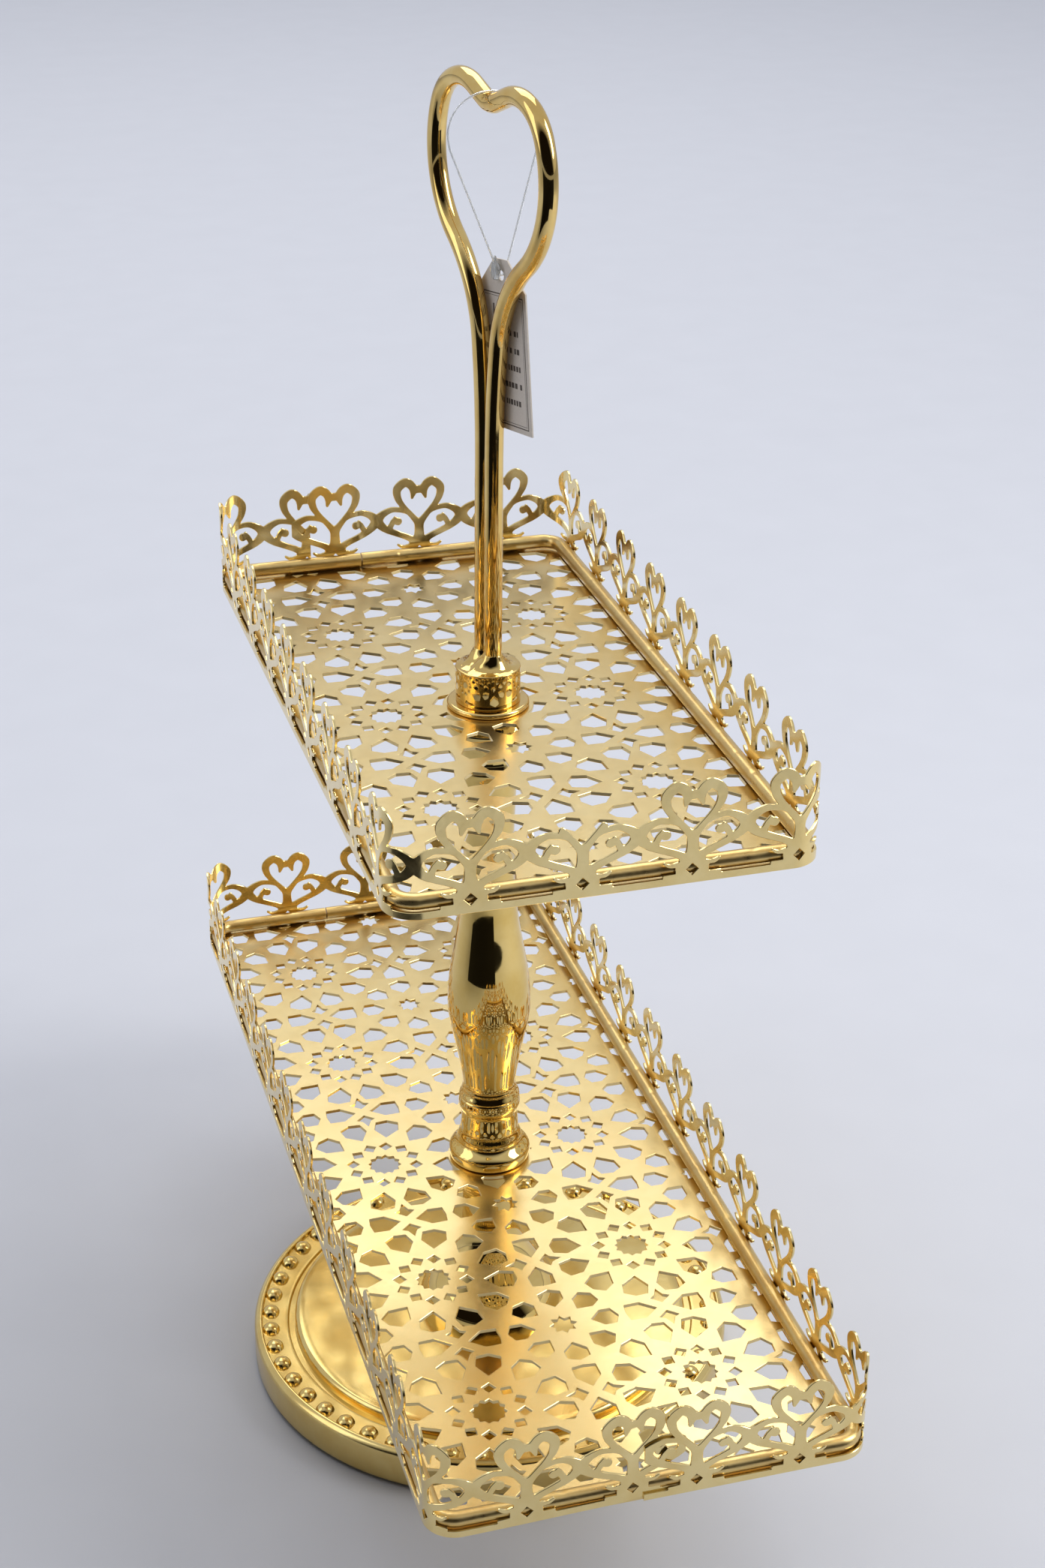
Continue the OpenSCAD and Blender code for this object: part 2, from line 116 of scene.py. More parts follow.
# %% [markdown]
# ## Gold plating
# Every gilded part is iron or brass, polished, nickelled and flashed with a brassy gold. It is a metal,
# so its colour sits in the base colour and its gloss in the roughness. Thin plating shows faint clouding
# from the bath, wipe marks that change the gloss, fine polishing lines and slow waves in the sheet. One
# function makes all the variants, because they differ only in polish, wave size and wear.

# %% Plated metal
def plating(name, bright, dull, gloss, wave_mm, wave_height_mm, line_share=0.15, wear=0.5):
    """Gold plating: two hex colours, a (lowest, highest) roughness, and the size of its slow waves."""
    finish, tree, shader, place = new_finish(name)
    cloud = node(tree, "ShaderNodeTexNoise", Vector=place, Scale=1 / (14 * MM), Detail=4.0, Roughness=0.6)
    smear = node(tree, "ShaderNodeTexNoise", Vector=place, Scale=1 / (5 * MM), Detail=6.0, Roughness=0.7,
                 Distortion=1.5)
    tone = blend_colour(tree, cloud.outputs["Fac"], dull, bright)
    tone.color_ramp.elements[0].position = 0.3
    tone.color_ramp.elements[1].position = 0.62
    low, high = gloss
    rough = node(tree, "ShaderNodeMapRange", Value=smear.outputs["Fac"], From_Min=0.35, From_Max=0.75,
                 To_Min=low, To_Max=low + (high - low) * (0.5 + wear / 2))
    # Polishing lines are about 0.2 mm apart in life; drawn 0.5 mm apart so that they still show.
    stretched = node(tree, "ShaderNodeMapping", Vector=place, Scale=(1, 1, 12))
    lines = node(tree, "ShaderNodeTexNoise", Vector=stretched.outputs["Vector"], Scale=1 / (6 * MM),
                 Detail=3.0)
    wave = node(tree, "ShaderNodeTexNoise", Vector=place, Scale=1 / (wave_mm * MM), Detail=1.0)
    height = node(tree, "ShaderNodeMath", {"operation": "MULTIPLY_ADD"}, i0=lines.outputs["Fac"],
                  i1=line_share * 0.02, i2=wave.outputs["Fac"])
    bump = node(tree, "ShaderNodeBump", Height=height.outputs[0], Distance=wave_height_mm * MM, Strength=1.0)
    tree.links.new(tone.outputs["Color"], shader.inputs["Base Color"])
    tree.links.new(rough.outputs["Result"], shader.inputs["Roughness"])
    tree.links.new(bump.outputs["Normal"], shader.inputs["Normal"])
    shader.inputs["Metallic"].default_value = 1
    return finish


# Softly polished plating on the spun base: clear but blurred reflections.
base_gold = plating("gold_plated_spun_iron", "#E6CC86", "#DDBD70", (0.16, 0.22), 40, 0.05)
# Mirror plating on turned parts and bent rod: sharp reflections, a trace of haze.
column_gold = plating("gold_plated_turned_iron", "#EACC82", "#E0BE6C", (0.02, 0.07), 14, 0.05)
handle_gold = plating("gold_plated_bent_rod", "#E8CA82", "#D9B264", (0.03, 0.12), 12, 0.04)
fitting_gold = plating("gold_plated_washers", "#E9C986", "#DEBC72", (0.08, 0.2), 8, 0.03)
# Satin plating on pierced sheet: rolled skin under thin gold, so reflections are soft and pale.
floor_gold = plating("gold_plated_pierced_sheet", "#E8D096", "#E3C88A", (0.22, 0.28), 60, 0.12,
                      line_share=0.05)
# Plating on stamped strip: smooth flat faces with some haze.
strip_gold = plating("gold_plated_stamped_strip", "#F4DEA0", "#EACF8B", (0.14, 0.24), 40, 0.06,
                      line_share=0.05)
# Plating on drawn wire, dulled by the soldering heat and by handling.
wire_gold = plating("gold_plated_drawn_wire", "#E2C684", "#D3B070", (0.27, 0.4), 20, 0.05, wear=1)
print("plated finishes:", len(bpy.data.materials))

# %% [markdown]
# ## Steel, rubber, board and nylon
# Out of sight are a zinc-plated bolt, stud, tie rod, weight and washer, and a foam rubber pad. The hang
# tag is grey uncoated board with dark print, hung on a clear nylon loop.

# %% Other finishes
def zinc_steel():
    """Zinc-plated mild steel: bluish grey with a crystalline mottle about 3 mm across."""
    finish, tree, shader, place = new_finish("zinc_plated_steel")
    grain = node(tree, "ShaderNodeTexVoronoi", Vector=place, Scale=1 / (3 * MM))
    tone = blend_colour(tree, grain.outputs["Distance"], "#B4B8BC", "#93989E")
    rough = node(tree, "ShaderNodeMapRange", Value=grain.outputs["Distance"], To_Min=0.28, To_Max=0.45)
    tree.links.new(tone.outputs["Color"], shader.inputs["Base Color"])
    tree.links.new(rough.outputs["Result"], shader.inputs["Roughness"])
    shader.inputs["Metallic"].default_value = 1
    return finish


def foam_rubber():
    """EVA foam: near-black and matt, its cells cut open; cells of 0.3 mm are drawn 0.8 mm wide to show."""
    finish, tree, shader, place = new_finish("foam_rubber")
    cells = node(tree, "ShaderNodeTexVoronoi", Vector=place, Scale=1 / (0.8 * MM))
    tone = blend_colour(tree, cells.outputs["Distance"], "#2A2A2C", "#3A3A3D")
    bump = node(tree, "ShaderNodeBump", Height=cells.outputs["Distance"], Distance=0.2 * MM)
    tree.links.new(tone.outputs["Color"], shader.inputs["Base Color"])
    tree.links.new(bump.outputs["Normal"], shader.inputs["Normal"])
    shader.inputs["Roughness"].default_value = 0.85
    return finish


def grey_board():
    """Uncoated recycled board: warm grey with fibres about 1.5 mm long and a matt, slightly felted face."""
    finish, tree, shader, place = new_finish("uncoated_grey_board")
    fibre = node(tree, "ShaderNodeTexNoise", Vector=place, Scale=1 / (1.5 * MM), Detail=5.0, Distortion=2.0)
    tone = blend_colour(tree, fibre.outputs["Fac"], "#CDC4B9", "#E0D8CE")
    bump = node(tree, "ShaderNodeBump", Height=fibre.outputs["Fac"], Distance=0.05 * MM)
    tree.links.new(tone.outputs["Color"], shader.inputs["Base Color"])
    tree.links.new(bump.outputs["Normal"], shader.inputs["Normal"])
    shader.inputs["Roughness"].default_value = 0.75
    return finish


def screen_ink():
    """Dark brown screen ink: thin and slightly uneven, so the board shows through in specks."""
    finish, tree, shader, place = new_finish("screen_ink")
    speck = node(tree, "ShaderNodeTexNoise", Vector=place, Scale=1 / (0.7 * MM), Detail=3.0)
    tone = blend_colour(tree, speck.outputs["Fac"], "#3E3834", "#6A615A")
    tree.links.new(tone.outputs["Color"], shader.inputs["Base Color"])
    shader.inputs["Roughness"].default_value = 0.6
    return finish


def clear_nylon():
    """Moulded clear nylon: colourless, a little milky, with small flow marks in its gloss."""
    finish, tree, shader, place = new_finish("clear_nylon")
    flow = node(tree, "ShaderNodeTexNoise", Vector=place, Scale=1 / (2 * MM), Detail=2.0)
    tone = blend_colour(tree, flow.outputs["Fac"], "#E4E8EA", "#F6F8F8")
    rough = node(tree, "ShaderNodeMapRange", Value=flow.outputs["Fac"], To_Min=0.1, To_Max=0.3)
    tree.links.new(tone.outputs["Color"], shader.inputs["Base Color"])
    tree.links.new(rough.outputs["Result"], shader.inputs["Roughness"])
    shader.inputs["Transmission Weight"].default_value = 0.75
    shader.inputs["IOR"].default_value = 1.53
    return finish


steel_finish = zinc_steel()
rubber_finish = foam_rubber()
board_finish = grey_board()
ink_finish = screen_ink()
nylon_finish = clear_nylon()

# %% [markdown]
# ## Carried-over parts
# The bolt, washers, tie rod, stud, weight and pad are already right as CAD solids. Each only needs its
# finish and a small bevel, since no real edge is perfectly sharp.

# %% Hidden hardware keeps its CAD shape
carried = {
    "base_weight": steel_finish, "base_washer": steel_finish, "base_bolt": steel_finish,
    "column_core": steel_finish, "handle_stud": steel_finish, "base_pad": rubber_finish,
    "lower_seat_washer": fitting_gold, "upper_seat_washer": fitting_gold,
}
for name, finish in carried.items():
    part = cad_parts[name]
    part.data.materials.clear()
    part.data.materials.append(finish)
    bevel = part.modifiers.new("eased_edges", "BEVEL")
    bevel.width = 0.15 * MM
    bevel.segments = 2
    bevel.limit_method = "ANGLE"
    bevel.angle_limit = math.radians(40)
print("carried over:", sorted(carried))

# %% [markdown]
# ## From arrays to pieces
# Every new piece is worked out as arrays of points in millimetres and faces. One function turns them to a
# mesh, splits the shading at its crisp edges, gives it its finish, and lets it ride on its CAD
# body.

# %% Make a piece
def make_piece(name, points, faces, finish, body, stands_for=(), crease=35):
    """A mesh piece from points in millimetres; it rides on body and stands for CAD nodes."""
    mesh = bpy.data.meshes.new(name)
    mesh.from_pydata((np.asarray(points, float) * MM).tolist(), [], [list(map(int, f)) for f in faces])
    mesh.validate()
    mesh.shade_smooth()
    mesh.set_sharp_from_angle(angle=math.radians(crease))
    mesh.materials.append(finish)
    piece = bpy.data.objects.new(name, mesh)
    scene.collection.objects.link(piece)
    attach(piece, body)
    if stands_for:
        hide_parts(*stands_for)
    print(name, len(mesh.polygons), "faces")
    return piece


def sheet_faces(rows, columns, wrap_rows=False, wrap_columns=True):
    """Quads over a grid of rows x columns points, wrapped round where asked."""
    faces = []
    for i in range(rows if wrap_rows else rows - 1):
        for j in range(columns if wrap_columns else columns - 1):
            i2, j2 = (i + 1) % rows, (j + 1) % columns
            faces.append((i * columns + j, i * columns + j2, i2 * columns + j2, i2 * columns + j))
    return faces


def turned(name, profile, finish, body, stands_for, segments=128):
    """A turned ring: a closed, anticlockwise profile of (radius, height) spun round the column's axis."""
    angle = np.linspace(0, 2 * math.pi, segments, endpoint=False)
    points = [(r * math.cos(a), r * math.sin(a), z) for r, z in profile for a in angle]
    faces = sheet_faces(len(profile), segments, wrap_rows=True)
    return make_piece(name, points, faces, finish, body, stands_for)


def eased(stations, steps=14):
    """A smooth profile through its turning stations (radius, height), flat at each of them."""
    line = []
    for (r0, z0), (r1, z1) in zip(stations, stations[1:]):
        for t in np.arange(steps) / steps:
            line.append((r0 + (r1 - r0) * (1 - math.cos(math.pi * t)) / 2, z0 + (z1 - z0) * t))
    return line + [stations[-1]]


def arc(centre, radius, start, end, steps=8):
    """Points on an arc from start to end, in degrees."""
    turn = np.radians(np.linspace(start, end, steps + 1))
    return [(centre[0] + radius * math.cos(a), centre[1] + radius * math.sin(a)) for a in turn]


# %% [markdown]
# ## The base cover
# The base is one disc of thin sheet, spun over a form, with fifty beads pressed up in a channel round its
# rim. A ring of spheres would leave hard joins, while pressed sheet flows into each bead; so the cover is
# one surface whose height is worked out point by point round and across.

# %% Base cover
bead_count = 50
bead_r = 3.1
steps_per_bead = 26
bead_ring_r = base_r - 6
side_top = base_high[2] - 3.1
floor_z = side_top - 1.6
plateau_z = side_top + 1.3
plateau_r = base_r - 15
ledge_r = base_r - 12
crown_r = 26.0
rim_r = 3.0
bore_r = 3.25


def bead_height(r, turn):
    """How far the pressed beads lift the channel's floor."""
    pitch = 2 * math.pi / bead_count
    off = (turn + pitch / 2) % pitch - pitch / 2
    across = np.hypot((r - bead_ring_r), off * bead_ring_r)
    dome = np.sqrt(np.clip(1 - (across / bead_r) ** 2, 0, 1))
    return 2.5 * dome


def base_profile():
    """The cover's section from its lower edge, over the rim and the channel, to the bore in the middle."""
    side = [(base_r - 2.2, base_low[2]), (base_r - 0.5, base_low[2]), (base_r - 0.1, base_low[2] + 0.5),
            (base_r, base_low[2] + 1.2)]
    rim = arc((base_r - rim_r, side_top - rim_r), rim_r, 0, 70, 12)
    lip = arc((base_r - 2.3, side_top - 0.75), 0.6, 60, 180, 6) + [(bead_ring_r + 3.05, floor_z + 0.25)]
    channel = [(bead_ring_r + x, floor_z) for x in np.linspace(2.9, -3.1, 30)]
    ledge = [(bead_ring_r - 5.2, floor_z)] + arc((ledge_r, floor_z - 0.5), 0.5, 90, 170, 4)
    groove = [(ledge_r - 0.75, floor_z - 0.95), (plateau_r + 0.3, floor_z - 0.95)]
    shoulder = arc((plateau_r - 2, plateau_z - 2), 2, 0, 80, 8)
    reach = shoulder[-1][0] - crown_r
    dome = [(crown_r + reach * t, base_high[2] - (base_high[2] - shoulder[-1][1]) * t ** 1.6)
            for t in np.linspace(0.94, 0, 14)]
    middle = [(8, base_high[2]), (bore_r, base_high[2])]
    return side + rim + lip + channel + ledge + groove + shoulder + dome + middle


section = base_profile()
wall = 1.2
turns = np.linspace(0, 2 * math.pi, bead_count * steps_per_bead, endpoint=False)
outer_points = []
for r, z in section:
    lift = bead_height(r, turns) if abs(r - bead_ring_r) < bead_r else np.zeros(len(turns))
    outer_points.append(np.stack([r * np.cos(turns), r * np.sin(turns), z + lift], axis=1))
outer_points = np.concatenate(outer_points)
inner_section = [(bore_r, base_high[2] - wall), (54, plateau_z - wall), (base_r - 19, plateau_z - wall - 0.6),
                 (base_r - 17.5, floor_z - wall), (base_r - 3, floor_z - wall), (base_r - 1.6, side_top - 5),
                 (base_r - 1.6, base_low[2] + 0.6)]
inner_points = np.concatenate([np.stack([r * np.cos(turns), r * np.sin(turns), 0 * turns + z], axis=1)
                               for r, z in inner_section])
shell_rows = len(section) + len(inner_section)
make_piece("base_cover", np.concatenate([outer_points, inner_points]),
           sheet_faces(shell_rows, len(turns), wrap_rows=True),
           base_gold, "stand", ["base_shell"], crease=50)

# %% [markdown]
# ## Pedestal, column, washer and collar
# These are turned parts, so each is a profile spun round the axis. The profile eases from station to
# station as a turner's template does, and the fine V-groove of the ring is cut into it.

# %% Turned parts
ped_low, ped_high = span("pedestal")
ped_z0, ped_z1 = ped_low[2], ped_high[2]
pedestal = eased([(ped_high[0], ped_z0), (ped_high[0], ped_z0 + 0.8), (10, ped_z0 + 38), (9.6, ped_z1 - 12),
                  (13.5, ped_z1 - 4), (13.5, ped_z1)])
hollow = [(bore_r, ped_z1), (bore_r, ped_z1 - 1), (8, ped_z1 - 1.5), (8, ped_z0)]
turned("pedestal_trumpet", pedestal + hollow, column_gold, "stand", ["pedestal"])

foot_low, foot_high = span("column_foot")
foot_z = foot_low[2]
core_bore = 5.05
foot = arc((foot_high[0] - 1.6, foot_z + 1.6), 1.4, 270, 340, 5) + eased(
    [(foot_high[0], foot_z + 3.8), (11.4, foot_z + 8.5), (10.2, foot_z + 13), (9.9, foot_high[2])])
turned("column_cushion", foot + [(core_bore, foot_high[2]), (core_bore, foot_z)], column_gold, "stand",
       ["column_foot"])

ring_low, ring_high = span("column_ring")
ring_z0, ring_z1 = ring_low[2], ring_high[2]
ring_r = ring_high[0]


def grooved(line, depth, width, *heights):
    """Cuts fine V-grooves into a profile at the given heights."""
    fine = []
    for (r0, z0), (r1, z1) in zip(line, line[1:]):
        for t in (0, 0.25, 0.5, 0.75):
            fine.append((r0 + (r1 - r0) * t, z0 + (z1 - z0) * t))
    fine.append(line[-1])
    return [(r - sum(depth * max(0, 1 - abs(z - h) / width) for h in heights), z) for r, z in fine]


ring = eased([(9.9, ring_z0), (ring_r, ring_z0 + 3.6), (ring_r - 0.2, ring_z1 - 3.4), (9.6, ring_z1)])
ring = grooved(ring, 0.3, 0.5, ring_z1 - 3.2)
turned("column_ring_band", ring + [(core_bore, ring_z1), (core_bore, ring_z0)], column_gold, "stand",
       ["column_ring"])

bal_low, bal_high = span("column_baluster")
bal_z0, bal_z1 = bal_low[2], bal_high[2]
bal_r = bal_high[0]
bal_stations = [(9.6, 0), (9.3, 3), (11.1, 14), (14.0, 29), (bal_r, 37), (13.5, 48), (10.3, 68), (8.8, 86),
                (8.6, 96), (9.6, bal_z1 - bal_z0)]


def flowing(points, steps=7):
    """A Catmull-Rom curve through a row of points."""
    p = np.array([points[0]] + points + [points[-1]], float)
    t = (np.arange(steps) / steps)[:, None]
    line = [0.5 * (2 * b + (c - a) * t + (2 * a - 5 * b + 4 * c - d) * t ** 2
                   + (3 * b - a - 3 * c + d) * t ** 3)
            for a, b, c, d in zip(p, p[1:], p[2:], p[3:])]
    return np.concatenate(line + [p[-1:]])


bal_out = [(min(r, bal_r), bal_z0 + z) for r, z in flowing(bal_stations, 10)]
bal_in = [(r - wall, z) for r, z in bal_out[::-4]]
turned("column_vase", bal_out + bal_in, column_gold, "stand", ["column_baluster"], 160)

cap_low, cap_high = span("column_cap")
cap_z0, cap_z1 = cap_low[2], cap_high[2]
cap = eased([(10, cap_z0), (10.9, cap_z0 + 4.5), (10, cap_z0 + 9), (10.6, cap_z0 + 13),
             (cap_high[0], cap_z1 - 4), (cap_high[0] - 1.4, cap_z1)])
turned("column_capital", cap + [(core_bore, cap_z1), (core_bore, cap_z0)], column_gold, "stand",
       ["column_cap"])

washer_low, washer_high = span("handle_washer")
washer_edge = arc((washer_high[0] - 1, washer_low[2] + 1), 1, -90, 90, 10)
turned("collar_washer", washer_edge + [(bore_r, washer_high[2]), (bore_r, washer_low[2])], fitting_gold,
       "handle", ["handle_washer"])

# %% [markdown]
# ## The heart rod
# One 6 mm rod is bent cold to a heart, so its middle line is straights and arcs that meet smoothly. The
# path is walked run by run, each run a radius (or a length) and a turn, and a round section is swept
# along it. Cold bending leaves small flats, and these are pressed in at random places on the lobes.

# %% Walk the heart's path
rod_r = 3.0
stem_u = 3.05
rod_foot_z = span("handle_rod")[0][2]
notch_z = 457.0
heart_turn = math.radians(-75.7)
heart_lean = math.radians(0.9)
runs = [(8, 23), (7.1, 0), (16.15, -89.75), (34, -73.25), (None, 0), (45, 42.9), (300, 7.1)]


def walk(runs, slant):
    """Stations (u, height, heading) from the notch outwards and down, every 2 degrees of bend."""
    u, v, heading, line = 0.0, 0.0, 0.0, []
    for size, turn in runs:
        size = slant if size is None else size
        steps = max(1, math.ceil(abs(turn) / 2))
        for _ in range(steps):
            line.append((u, v, heading))
            chord = size if turn == 0 else 2 * size * math.sin(math.radians(abs(turn) / steps / 2))
            middle = math.radians(heading + turn / steps / 2)
            u, v = u + chord * math.cos(middle), v + chord * math.sin(middle)
            heading += turn / steps
    return line + [(u, v, heading)]


open_end = walk(runs, 0.0)[-1][0]
slant_heading = math.radians(sum(turn for _, turn in runs[:4]))
slant = (stem_u - open_end) / math.cos(slant_heading)
half = walk(runs, slant)
stem_top = half[-1][1]
foot_v = rod_foot_z - notch_z
half += [(stem_u, v, -90.0) for v in np.linspace(stem_top - 2, foot_v, 24)]
heart_path = [(-u, v, -a) for u, v, a in half[:0:-1]] + half
print("heart path:", len(heart_path), "stations, slant", round(slant, 3), "mm")


def heart_place(points):
    """From the heart's own frame (across, behind, up from the notch) to the stand's frame."""
    local = np.asarray(points, float) + (0, 0, notch_z - rod_foot_z)
    tilt = Matrix.Rotation(heart_lean, 3, "Y")
    move = Matrix.Rotation(heart_turn, 3, "Z") @ tilt
    return local @ np.array(move).T + (0, 0, rod_foot_z)


def tube(path, radius, sides, closed=False, shape=None):
    """Points and faces of a round bar along a flat path; shape(i, angle) scales the radius."""
    points = []
    for i, (u, v, heading) in enumerate(path):
        a = math.radians(heading)
        for k in range(sides):
            b = 2 * math.pi * k / sides
            r = radius * (shape(i, b) if shape else 1)
            out = r * math.cos(b)
            points.append((u - math.sin(a) * out, r * math.sin(b), v + math.cos(a) * out))
    faces = sheet_faces(len(path), sides, wrap_rows=closed)
    if not closed:
        faces += [tuple(range(sides))[::-1], tuple(range((len(path) - 1) * sides, len(path) * sides))]
    return points, faces


rng = random.Random(11)
flats = [(rng.randrange(30, len(heart_path) - 30), rng.uniform(0, 2 * math.pi), rng.uniform(0.01, 0.03))
         for _ in range(16)]


def rod_shape(i, b):
    """Shallow flats, as a share of the radius."""
    dent = sum(d * math.exp(-((i - at) / 2.5) ** 2 - (math.remainder(b - side, 2 * math.pi) / 0.5) ** 2)
               for at, side, d in flats)
    return 1 - dent


rod_points, rod_faces = tube(heart_path, rod_r, 40, shape=rod_shape)
make_piece("heart_rod", heart_place(rod_points), rod_faces, handle_gold, "handle",
           ["handle_rod"])

# %% [markdown]
# ## Collar and weld
# The two rod ends stand in a puddle of weld metal on the turned collar. A weld wets the rods and runs out
# in a concave cone with lumps and pits, so its height is worked out from the distance to the nearer rod
# plus noise.

# %% Collar with its weld
collar_low, collar_high = span("handle_collar")
collar_r = collar_high[0]
collar_z0 = collar_low[2]
weld_top = 5.2
along = np.array([math.cos(heart_turn), math.sin(heart_turn)])


def weld_height(x, y):
    """Height of the weld over the collar's top face."""
    near = min(math.hypot(x - s * stem_u * along[0], y - s * stem_u * along[1]) for s in (-1, 1)) - rod_r
    edge = max(0.0, 1 - math.hypot(x, y) / (collar_r - 0.5))
    cone = weld_top * min(1, 2.5 * edge) * math.exp(-max(near, 0) / 2.4)
    lumps = 0.15 * math.sin(0.9 * x + 1.3 * math.sin(0.8 * y)) * math.cos(1.0 * y - 0.5 * x)
    pits = 0.05 * math.sin(2.6 * x + 2) * math.sin(2.3 * y + 1)
    return max(0.0, cone + (lumps + pits) * min(1, 3 * edge))


sides = 144
side_line = ([(bore_r - 0.25, collar_z0)] + arc((collar_r - 0.5, collar_z0 + 0.5), 0.5, 270, 360, 4)
             + arc((collar_r - 0.45, rod_foot_z - 0.45), 0.45, 0, 90, 5))
collar_points = []
for r, z in side_line:
    for a in np.linspace(0, 2 * math.pi, sides, endpoint=False):
        collar_points.append((r * math.cos(a), r * math.sin(a), z))
weld_radii = np.linspace(collar_r - 0.9, 0.3, 46)
for r in weld_radii:
    for a in np.linspace(0, 2 * math.pi, sides, endpoint=False):
        x, y = r * math.cos(a), r * math.sin(a)
        collar_points.append((x, y, rod_foot_z + weld_height(x, y)))
rows = len(side_line) + len(weld_radii)
collar_faces = sheet_faces(rows, sides)
collar_faces.append(tuple(range((rows - 1) * sides, rows * sides)))
# The tapped bore closes the collar from below.
bore_top = collar_z0 + 11
bore_row = len(collar_points)
for a in np.linspace(0, 2 * math.pi, sides, endpoint=False):
    collar_points.append(((bore_r - 0.25) * math.cos(a), (bore_r - 0.25) * math.sin(a), bore_top))
collar_faces += [(bore_row + j, bore_row + (j + 1) % sides, (j + 1) % sides, j) for j in range(sides)]
collar_faces.append(tuple(range(bore_row, bore_row + sides))[::-1])
make_piece("collar_and_weld", collar_points, collar_faces, handle_gold, "handle",
           ["handle_collar"], crease=60)

# %% [markdown]
# ## Cut sheet
# Trays, scroll strips and the tag are all flat sheet cut to an outline with holes. The outline is a set
# of loops; one function insets each loop for a small chamfer, fills the faces between the loops with a
# constrained Delaunay mesh, and joins front and back round every edge.

# %% Cut a sheet from loops
def inset(loop, by):
    """Moves a closed loop to its left by a distance, mitred at the corners."""
    before, after = np.roll(loop, 1, axis=0), np.roll(loop, -1, axis=0)
    d0, d1 = loop - before, after - loop
    d0 /= np.maximum(np.linalg.norm(d0, axis=1, keepdims=True), 1e-9)
    d1 /= np.maximum(np.linalg.norm(d1, axis=1, keepdims=True), 1e-9)
    n0, n1 = np.stack([-d0[:, 1], d0[:, 0]], 1), np.stack([-d1[:, 1], d1[:, 0]], 1)
    mitre = n0 + n1
    size = np.maximum((mitre ** 2).sum(1, keepdims=True), 0.5)
    return loop + mitre * (2 * by / size)


def in_metal(places, triangles, edges):
    """The triangles centred in metal: a ray from there crosses the outline an odd number of times."""
    middle = places[np.array(triangles)].mean(axis=1)
    (ax, ay), (bx, by) = edges[:, 0].T, edges[:, 1].T
    kept = []
    for chunk in np.array_split(np.arange(len(middle)), len(middle) // 500 + 1):
        x, y = middle[chunk, 0, None], middle[chunk, 1, None]
        beside = (ay > y) != (by > y)
        cross = ax + (y - ay) * (bx - ax) / np.where(by == ay, 1, by - ay)
        odd = (beside & (x < cross)).sum(axis=1) % 2 == 1
        kept += [triangles[j] for j in chunk[odd]]
    return kept


def cut_sheet(loops, thickness, chamfer, kept_x=()):
    """Points (x, y, depth) and faces of a sheet; loops run with the metal on their left. Points at a kept x
    stay there, so that neighbouring sheets meet without a groove."""
    points, faces = [], []
    levels = [(chamfer, 0.0), (0.0, chamfer), (0.0, thickness - chamfer), (chamfer, thickness)]
    starts = []
    for by, depth in levels:
        starts.append(len(points))
        for loop in loops:
            moved = inset(loop, by) if by else loop.copy()
            for border in kept_x:
                edge = np.abs(loop[:, 0] - border) < 1e-3
                moved[edge, 0] = loop[edge, 0]
            points.extend((x, y, depth) for x, y in moved)
    total = starts[1]
    first = 0
    for loop in loops:
        count = len(loop)
        for j in range(count):
            a, b = first + j, first + (j + 1) % count
            for here, deeper in zip(starts, starts[1:]):
                faces.append((here + a, here + b, deeper + b, deeper + a))
        first += count
    edges, first = [], 0
    for loop in loops:
        edges += [(first + j, first + (j + 1) % len(loop)) for j in range(len(loop))]
        first += len(loop)
    for level, flip in ((starts[0], True), (starts[3], False)):
        flat = [Vector(p[:2]) for p in points[level:level + total]]
        made, _, filled, origin, _, _ = delaunay_2d_cdt(flat, edges, [], 1, 1e-5)
        filled = in_metal(np.array(made), filled, np.array(flat)[np.array(edges)])
        index = []
        for j, source in enumerate(origin):
            if source:
                index.append(level + source[0])
            else:
                index.append(len(points))
                points.append((made[j][0], made[j][1], points[level][2]))
        for f in filled:
            corner = [index[j] for j in f]
            faces.append(corner[::-1] if flip else corner)
    return np.array(points), faces


# %% [markdown]
# ## Pierced tray floors
# The star pattern is cut through in the CAD model already, and its outlines must agree with it. So the
# loops are read back from the CAD floor's top face, and the sheet is rebuilt with the small burr-free
# chamfer that tumbling and plating leave, which is what catches the light along each hole.

# %% Read a floor's outline and rebuild it
def top_loops(name):
    """The outline loops of a flat CAD node's top face, in millimetres, metal on the left."""
    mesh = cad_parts[name].data
    height = span(name)[1][2]
    spots, ids = {}, []
    for v in mesh.vertices:
        key = tuple(round(c / MM, 3) for c in v.co)
        ids.append(spots.setdefault(key, len(spots)))
    place = list(spots)
    used = set()
    for face in mesh.polygons:
        if face.normal.z > 0.9 and abs(place[ids[face.vertices[0]]][2] - height) < 0.01:
            corner = [ids[v] for v in face.vertices]
            used.update(zip(corner, corner[1:] + corner[:1]))
    border = {a: b for a, b in used if (b, a) not in used}
    loops = []
    while border:
        start, here = next(iter(border.items()))
        loop = [start]
        del border[start]
        while here != start:
            loop.append(here)
            here = border.pop(here)
        loops.append(np.array([place[i][:2] for i in loop]))
    return loops


def tray_floor(name, piece, body):
    """One pierced floor with chamfered edges, face side up."""
    low, high = span(name)
    loops = top_loops(name)
    points, faces = cut_sheet(loops, high[2] - low[2], 0.12)
    points[:, 2] = high[2] - points[:, 2]
    make_piece(piece, points, [f[::-1] for f in faces], floor_gold, body, [name], crease=25)
    print(piece, len(loops) - 1, "holes")


tray_floor("lower_floor", "lower_tray_floor", "lower_tray")
tray_floor("upper_floor", "upper_tray_floor", "upper_tray")

# %% [markdown]
# ## The scroll motif
# The gallery strip is stamped with one motif over and over: a plinth with a diamond hole, a stem that
# opens to a heart whose ends curl inwards, and a side scroll each way. It is drawn as a pen would draw
# it, with strokes whose width swells and thins. Their distances blend, which rounds every fork as the
# stamping tool does, and the outline is traced where the blended distance is zero.

